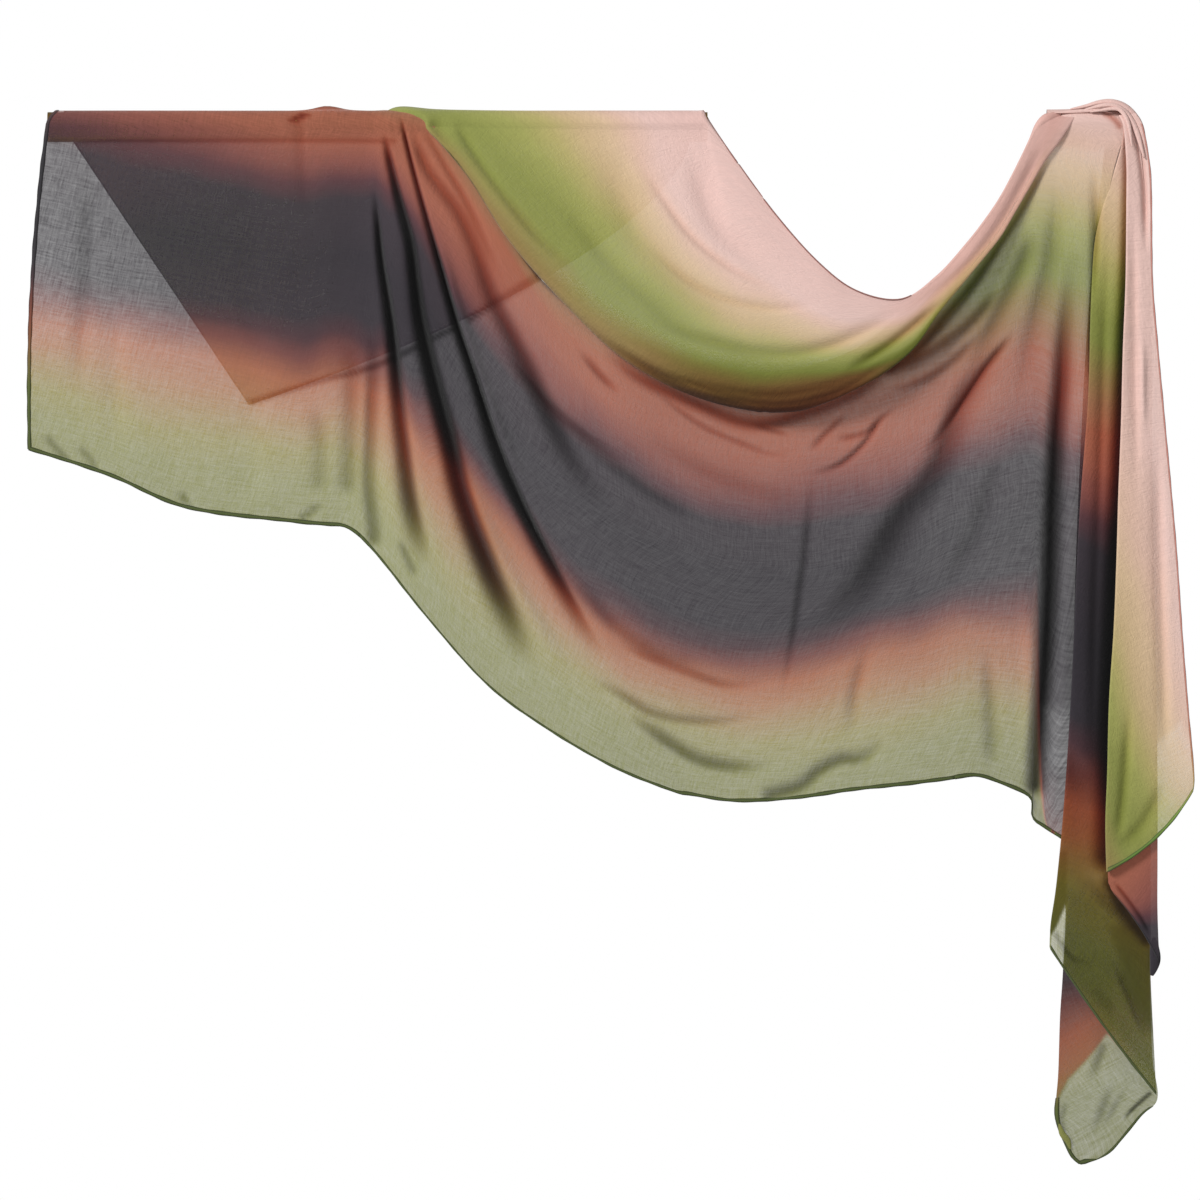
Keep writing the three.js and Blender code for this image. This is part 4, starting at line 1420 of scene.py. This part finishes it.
@dataclass
class RailTwist:
    """The gathered cloth that crosses the short rail, and the strands that lie on it."""

    dresser: Dresser
    front_turn: float = 52.0  # degrees up from straight ahead, where the cloth ends in front
    dye_share: float = 0.3  # how fast the dye runs on round the bundle
    cover: float = 0.97
    columns: int = 70
    around: int = 48
    arches: tuple[Arch, ...] = (
        Arch(719, 18.6, 18.6, 19, 146, 18),
        Arch(735, 18.8, 18.8, 21, 148, 14),
        Arch(756, 19.5, 19.2, 23, 170, 12),
        Arch(769, 21, 20, 24, 174, 14),
        Arch(779, 23.5, 20, 24, 174, 18),
        Arch(788, 25, 20, 24, 174, 22),
        Arch(797, 23, 20, 24, 174, 26),
        Arch(806, 17, 20, 23, 174, 30),
        Arch(813, 11, 20, 21, 174, 34),
        Arch(820, 3, 20, 18, 174, 38),
    )
    strands: tuple[Strand, ...] = (
        Strand((744, -6, 19, 760, -8, 22, 775, -10, 26, 788, -12, 26.5, 801, -14, 22, 812, -18, 11,
                819, -22, -2, 824, -28, -24), 9, 6, 12),
        Strand((756, -14, 17, 768, -15, 20.5, 780, -17, 23, 791, -18, 22.5, 800, -20, 17, 808, -25, 7,
                815, -29, -8, 822, -33, -34), 7, 5, 20),
        Strand((765, -17, 15.5, 776, -18.5, 17.5, 787, -20, 19, 796, -22, 18, 802, -26, 11, 806, -30, 0,
                809, -34, -22), 5, 4, 26),
        Strand((728, -12, 15, 744, -13, 16, 760, -14, 17, 772, -16, 17.5, 784, -18, 16.5), 5, 3.5, 14),
    )

    def build(self) -> None:
        rows = table(self.arches)
        at = smooth_rows(rows, np.linspace(0, len(rows) - 1, self.columns))
        x, top, front, back, turn, place = (c[:, None] for c in at.T)
        share = np.linspace(0, 1, self.around)[None]
        angle = np.radians(turn + (self.front_turn - turn) * share)
        reach = np.where(angle < math.pi / 2, front, back)
        y = -reach * np.cos(angle)
        z = top * np.sin(angle)
        down = math.pi / 2 - np.abs(angle - math.pi / 2)
        across = place + 0.5 * (front + back) * down * self.dye_share
        points = np.stack([x + 0 * y, y, z], axis=-1)
        cloth = Cloth(points, across, np.full(y.shape, self.cover), np.zeros(y.shape))
        cloth.settle()
        sheet = self.dresser.sheet("twist", cloth)
        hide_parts("rail_twist")
        strands = self.dresser.strands("twist_strands", self.strands)
        log.info("twist: %.0f mm wide over the short rail", self.arches[-1].x - self.arches[0].x)


# ------------------------------------------------------------------- the tails


@dataclass(frozen=True)
class Level:
    """One level of a tail from its left edge to its right edge, in mm.

    v0 and v1 are the places across the cut at its two ends.
    """

    x0: float
    z0: float
    x1: float
    z1: float
    y: float
    bow: float
    v0: float
    v1: float


@dataclass(frozen=True)
class Tail:
    """One tail that hangs below the short rail."""

    name: str
    node: str
    levels: tuple[Level, ...]
    folds: tuple[Crease, ...]
    thin: tuple[Veil, ...]
    hems: tuple[tuple[Edge, float, float, float], ...]  # edge, start and end, width
    flat: tuple[float, float]
    area: float
    tongue: tuple[Strand, ...] = ()  # turned corners
    cover: float = 0.96
    spacing: float = 3.0
    columns: int = 56
    tuck: float = 0.0  # how far the left edge lies behind the right one, in mm
    tuck_grows: tuple[float, float] = (20.0, 70.0)  # mm below the rail's axis
    curl: float = 0.0  # radius of the left edge's turn to the back, in mm
    curl_dye: float = 0.3  # how fast the dye runs on round that turn
    seed: float = 0.3

    def build(self, dresser: Dresser) -> None:
        """Args:
            dresser: Makes the sheet and hems.
        """
        rows = table(self.levels)
        at = smooth_rows(rows, even_places(rows, self.spacing, axes=2))
        x0, z0, x1, z1, y, bow, v0, v1 = (c[None] for c in at.T)
        t = np.linspace(0, 1, self.columns)[:, None]
        way = unit(np.stack([x1 - x0, z1 - z0], axis=-1))
        swell = 4 * t * (1 - t) * bow
        x = x0 + (x1 - x0) * t + way[..., 1] * swell
        z = z0 + (z1 - z0) * t - way[..., 0] * swell
        depth = y + self.tuck * (1 - t) * ramp(-z, *self.tuck_grows)
        across = v0 + (v1 - v0) * t
        points, layers = np.stack([x, depth, z], axis=-1), np.zeros(across.shape)
        cloth = Cloth(points, across, thin_border(self.cover, across), layers)
        cloth.ripple(height=0.4, length=110, seed=self.seed)
        cloth.clear(self.thin)
        cloth.sink(self.folds)
        if self.curl:
            cloth = self._curl_back(cloth)
        cloth.settle()
        sheet = dresser.sheet(self.name, cloth)
        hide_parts(self.node)
        rolls = []
        for edge, start, end, width in self.hems:
            rolls.append(Roll(cloth, edge, start, end, width, thick=0.45 * width))
        extras = [dresser.hem(f"{self.name}_hem", rolls)]
        if self.tongue:
            extras.append(dresser.strands(f"{self.name}_corner", self.tongue))
        log.info("%s: %.0f mm long", self.name, self.levels[0].z1 - self.levels[-1].z1)

    def _curl_back(self, cloth: Cloth) -> Cloth:
        """Turn the left edge round to the back.

        Args:
            cloth: The tail.

        Returns:
            The tail with its turned edge.
        """
        edge, outward = cloth.points[0], unit(cloth.points[0] - cloth.points[2])
        rows, across = [], []
        for turn in np.linspace(math.pi, 0, 9)[:-1]:
            way = outward * math.sin(turn) + BACKWARD * (1 - math.cos(turn))
            rows.append(edge + self.curl * way)
            across.append(cloth.across[0] + self.curl * turn * self.curl_dye)
        points = np.concatenate([np.stack(rows), cloth.points])
        places = np.concatenate([np.stack(across), cloth.across])
        cover = np.concatenate([np.repeat(cloth.cover[:1], len(rows), axis=0), cloth.cover])
        layers = np.concatenate([np.repeat(cloth.layers[:1], len(rows), axis=0), cloth.layers])
        return Cloth(points, places, cover, layers)


TAILS = (
    Tail(
        name="inner_cloth",
        node="inner_tail",
        levels=(
            # x0 z0, x1 z1, y, bow, v0 v1
            Level(802, -1, 816, -1, -20.5, 0, 48, 45),
            Level(799, -24, 818, -24, -21, 0, 62, 52),
            Level(789, -57, 823, -57, -22.5, 0, 86, 70),
            Level(779, -90, 825, -90, -24.5, 0, 112, 88),
            Level(771, -126, 827, -126, -26, 0, 142, 110),
            Level(767, -196, 829, -196, -27.5, 0, 192, 170),
            Level(764, -292, 829, -292, -29, 0, 258, 245),
            Level(754.5, -421, 829, -421, -31, 0, 385, 365),
            Level(746.5, -592, 829, -592, -33, 0, 500, 480),
            Level(738.5, -720, 829, -720, -34, 0, 600, 578),
            Level(730.5, -806, 829, -806, -34, 0, 672, 640),
            Level(724.5, -848, 829, -868, -34, 0, 706, 665),
            Level(723, -866, 829, -913, -34, 0, 735, 700),
            Level(722, -878, 835, -1034, -34, 3, 750, 750),
        ),
        folds=(
            Crease((727, -859, 736, -876, 750, -891, 776, -898), 2.5, 3, 0.35, 1, (0.1, 0.6)),
            Crease((789, -889, 806, -927, 817, -954, 829, -979), 4, 4, 0.3, 0.6),
            Crease((782, -25, 775, -62, 771, -126, 767, -196), 3, 4, 0.5, 1, (0.2, 0.4)),
            Crease((784, -100, 780, -217, 776, -346, 770, -506, 765, -720), 3, 6, 0.15, 1.5),
            Crease((760, -795, 781, -827, 808, -854, 824, -881), 3, 6, 0.2, 1, (0.4, 0.4)),
            Crease((765, -918, 781, -934, 797, -950), 3, 5, 0.1, 1, (0.4, 0.4)),
            # the next two: troughs beside the front and middle tails' edges, darkened with painted shadow
            Crease((805, 16, 804, -132, 799, -346, 792, -613, 785, -804),
                   4, 8, 2.0, 0.4, (0.03, 0.03), (0.5, 2.2)),
            Crease((783, -793, 798, -832, 811, -850, 829, -878), 3, 7, 1.4, 0.5, (0.2, 0.1), (1.4, 0.6)),
            # painted shade only, with no trough
            Crease((776, -25, 774, -292, 765, -613, 760, -795, 765, -891), 0, 14, 0.15),
        ),
        # these veils thin the cloth and darken its dye, partly for extra layers and partly as painted
        # shade
        thin=(
            Veil((722, -651, 759, -699, 759, -811, 712, -795), 0.83, 0.48, 14.0),
            Veil((712, -797, 808, -814, 845, -891, 845, -1052, 712, -891), 0.66, 0.55, 22.0),
            Veil((784, -854, 797, -891, 810, -927, 822, -954, 836, -979, 840, -1036, 856, -934, 845, -843),
                 0.76, 0.9, 7.0),
            Veil((712, -774, 740, -774, 739, -829, 728, -856, 718, -872, 706, -859), 0.98, 0.7, 3.0),
            Veil((740, -829, 728, -856, 718, -870, 722, -886, 735, -913, 736, -870), 0.72, 0.0, 1.5),
        ),
        hems=((Edge.FOOT, 0, 1, 4.6),),
        flat=(0.75, 0.1),
        area=0.07,
        tuck=3.0,
        curl=1.6,
        seed=2.1,
    ),
    Tail(
        name="middle_cloth_tail",
        node="middle_tail",
        levels=(
            Level(806, -1, 816, -1, -26.5, 0, 32, 32),
            Level(807, -164, 829, -164, -31, 0, 64, 64),
            Level(799, -393, 831, -393, -36, 0, 128, 107),
            Level(789, -613, 835, -613, -39, 0, 235, 214),
            Level(784, -720, 836, -720, -40, 0, 284, 300),
            Level(783, -797, 836, -784, -40, 0, 310, 350),
            Level(785, -811, 836, -838, -40, 0, 316, 385),
            Level(789, -819, 838, -893, -40, -3, 321, 480),
        ),
        folds=(
            Crease((789, -806, 802, -822, 819, -846, 829, -865), 2, 2.5, 0.4, 1.3, (0.2, 0.2)),
        ),
        thin=(),
        hems=((Edge.FOOT, 0, 1, 4.0),),
        tongue=(
            Strand((832, -37, -866, 833, -38, -879, 833.5, -38, -892, 830, -37, -907),
                   11.5, 3.5, 480, hangs=True),
        ),
        flat=(0.4, 0.08),
        area=0.03,
        cover=0.98,
        seed=1.2,
    ),
    Tail(
        name="front_cloth_tail",
        node="front_tail",
        levels=(
            Level(797, 12, 813, 14, -22, 0, 22, 22),
            Level(802, -1, 821, -1, -29, 0, 27, 27),
            Level(805, -40, 828, -40, -32, 0, 38, 32),
            Level(805, -78, 830, -78, -34, 0, 48, 37),
            Level(804, -164, 831, -164, -36, 0, 54, 43),
            Level(801, -240, 837, -240, -39, 0, 59, 43),
            Level(799, -317, 844, -317, -41, 0, 62, 40),
            Level(796, -393, 851, -393, -43, 0, 76, 42),
            Level(794, -463, 857, -463, -44, 0, 98, 46),
            Level(791, -537, 862, -537, -45, 0, 130, 52),
            Level(786, -614, 868, -614, -46, 0, 168, 62),
            Level(784, -690, 873, -669, -46, 0, 200, 80),
            Level(782, -744, 875, -696, -46, 4, 216, 100),
            Level(783, -795, 874, -709, -46, 10, 228, 120),
        ),
        folds=(
            Crease((808, 12, 817, -19, 823, -67, 824, -142), 5, 4, 0.25, 1.5, (0.1, 0.4)),
            Crease((835, -314, 840, -506, 845, -677), 4, 8, 0.1, 1.4, (0.3, 0.2)),
            Crease((811, -78, 812, -239, 814, -421), 3, 7, 0.1, 1.6, (0.3, 0.4)),
            Crease((820, -217, 820, -281, 821, -335), -3, 4, 0, 1, (0.4, 0.4)),
            Crease((789, -774, 819, -747, 845, -699), 3, 8, 0.15, 1.2),
            Crease((806, -613, 801, -699, 793, -768), 4, 6, 0.2, 1.2, (0.4, 0.2)),
        ),
        thin=(Veil((834, -661, 831, -784, 878, -720, 880, -677, 861, -635), 0.86, 0.0, 4.0),),
        hems=((Edge.FOOT, 0, 1, 4.6), (Edge.LAST, 0.02, 1.0, 2.2)),
        flat=(0.27, 0.2),
        area=0.05,
        curl=1.8,
        seed=0.4,
    ),
    Tail(
        name="back_cloth_tail",
        node="back_tail",
        levels=(
            Level(784, -1, 816, -1, 20, 0, 11, 11),
            Level(765, -185, 823, -185, 15, 0, 160, 160),
            Level(752, -421, 829, -421, 8, 0, 321, 321),
            Level(744, -667, 829, -667, 2, 0, 449, 449),
            Level(732, -790, 829, -800, -2, 0, 490, 500),
            Level(734, -822, 829, -830, -3, 0, 505, 515),
            Level(739, -838, 829, -850, -4, 0, 515, 528),
            Level(736, -905, 829, -905, -6, 0, 545, 565),
            Level(733, -951, 830, -951, -8, 0, 578, 615),
            Level(731, -1011, 832, -998, -10, 0, 620, 675),
            Level(728, -1057, 837, -1039, -12, 0, 685, 749),
            Level(736, -1082, 820, -1057, -12, 0, 728, 750),
            Level(744, -1100, 789, -1094, -12, 0, 746, 750),
            Level(754, -1109, 771, -1105, -12, 0, 750, 750),
        ),
        folds=(
            Crease((832, -1031, 810, -1051, 799, -1064), 1, 1.9, 1.1, 1, (0.1, 0.4)),
            Crease((783, -977, 774, -998, 765, -1025), 1.5, 5, 0.45, 1.2, (0.2, 0.6), (1, 1.2)),
            Crease((792, -1018, 779, -1050, 765, -1082), 1.5, 5, 0.35, 1.2, (0.5, 0.5)),
            Crease((806, -1025, 790, -1052, 777, -1075), 1.5, 4, 0.25, 1.2, (0.5, 0.5)),
            Crease((742, -1041, 735, -1063, 742, -1079), 1.5, 4, 0.25, 1.2),
        ),
        thin=(
            Veil((722, -881, 722, -1073, 737, -1039, 744, -1019, 761, -999, 773, -984, 789, -966,
                  789, -881), 0.93, 0.3, 3.0),
            Veil((783, -970, 773, -984, 761, -999, 742, -1019, 731, -1041, 733, -1111, 786, -1116,
                  845, -1041), 0.78, 0.12, 2.5, tuck=75),
        ),
        hems=((Edge.FOOT, 0, 1, 5.0), (Edge.FIRST, 0.93, 1.0, 5.0), (Edge.LAST, 0.925, 1.0, 5.0)),
        tongue=(
            Strand((732, -14, -1066, 735, -15, -1076, 741, -15, -1084, 744, -14, -1093),
                   7, 3.5, 735, hangs=True),
        ),
        flat=(0.75, 0.1),
        area=0.07,
        seed=3.3,
    ),
)


# ------------------------------------------------------------------- the rails


@dataclass
class Rails:
    """The two brass rails that hold the hijab, kept from the CAD."""

    brass: bpy.types.Material
    nodes: tuple[str, ...] = ("long_rail", "short_rail")

    def build(self) -> None:
        """Give the CAD rails their finish."""
        for name in self.nodes:
            rail = bpy.data.objects[name]
            rail.data.materials.clear()
            rail.data.materials.append(self.brass)
            log.info("%s: brass", name)


# ------------------------------------------------------------------ the studio


@dataclass
class Studio:
    """A pale floor, soft light and the camera."""

    middle: float = 0.241  # m, the camera's place along the rails
    height: float = -0.506
    distance: float = 15.0
    field: float = 1.284  # m across the picture
    floor_gap: float = 0.2
    floor_radius: float = 2.2
    floor_depth: float = 0.02
    sensor: float = 36.0  # mm
    ambient: float = 0.27

    def build(self) -> None:
        """Set up the world, floor, lights and camera."""
        self._world()
        self._floor()
        self._light("key", (-4.4, -4.2, 3.8), (0.2, 0.0, -0.4), 2.0, 585.0)
        self._light("fill", (3.2, -5.0, 0.2), (0.3, 0.0, -0.6), 3.6, 50.0)
        self._camera()
        view = bpy.context.scene.view_settings
        view.view_transform = "Standard"
        view.look = "None"
        bpy.context.scene.cycles.transparent_max_bounces = 32
        log.info("studio: floor, two lights and camera")

    def _world(self) -> None:
        """Make a white backdrop that lights the cloth softly."""
        world = bpy.data.worlds.new("studio")
        bpy.context.scene.world = world
        world.use_nodes = True
        nodes = Nodes(world.node_tree)
        seen = nodes.add("ShaderNodeLightPath").outputs["Is Camera Ray"]
        limits = {"Value": seen, "To Min": self.ambient, "To Max": 1.0}
        strength = nodes.add("ShaderNodeMapRange", limits).outputs[0]
        white = (1.0, 1.0, 1.0, 1.0)
        sky = nodes.add("ShaderNodeBackground", {"Color": white, "Strength": strength})
        nodes.add("ShaderNodeOutputWorld", {"Surface": sky.outputs[0]})

    def _floor(self) -> None:
        """Add a plain pale floor below the lowest tail."""
        low = CAD_BOX[0][2] - self.floor_gap
        bpy.ops.mesh.primitive_cylinder_add(
            vertices=96, radius=self.floor_radius, depth=self.floor_depth, location=(0.0, 0.0, 0.0)
        )
        floor = bpy.context.active_object
        floor.name = "floor"
        floor.data.transform(Matrix.Translation((self.middle, 0.0, low - self.floor_depth / 2)))
        paint, nodes = start_material("floor_paint")
        nodes.surface({"Base Color": (0.86, 0.86, 0.85, 1.0), "Roughness": 0.9})
        floor.data.materials.append(paint)

    def _light(
        self, name: str, place: tuple[float, ...], aim: tuple[float, ...], size: float, power: float
    ) -> None:
        """Add one soft light.

        Args:
            name: Its name.
            place: Where it stands, in metres.
            aim: The point it faces.
            size: The side of its square, in metres.
            power: Its power in watts.
        """
        bpy.ops.object.light_add(type="AREA", location=place)
        light = bpy.context.active_object
        light.name = name
        light.data.size = size
        light.data.energy = power
        way = Vector(aim) - Vector(place)
        light.rotation_euler = way.to_track_quat("-Z", "Y").to_euler()

    def _camera(self) -> None:
        """Stand the camera square on in front of the rails, far back."""
        bpy.ops.object.camera_add(
            location=(self.middle, -self.distance, self.height), rotation=(math.pi / 2, 0.0, 0.0)
        )
        camera = bpy.context.active_object
        camera.data.sensor_width = self.sensor
        camera.data.lens = self.sensor * self.distance / self.field
        camera.data.clip_end = 60.0
        bpy.context.scene.camera = camera


# ------------------------------------------------------------------------ main


def main() -> None:
    """Dress the frame, piece by piece."""
    logging.basicConfig(level=logging.INFO, format="%(name)s: %(message)s")
    weave = weave_group()
    dresser = Dresser(ClothFinish().build(weave), HemFinish().build())
    Rails(BrassFinish().build()).build()
    BackFlap(dresser).build()
    FrontSheet(dresser).build()
    Cowl(dresser).build()
    for tail in TAILS:
        tail.build(dresser)
    RailTwist(dresser).build()
    Studio().build()


if __name__ == "__main__":
    main()
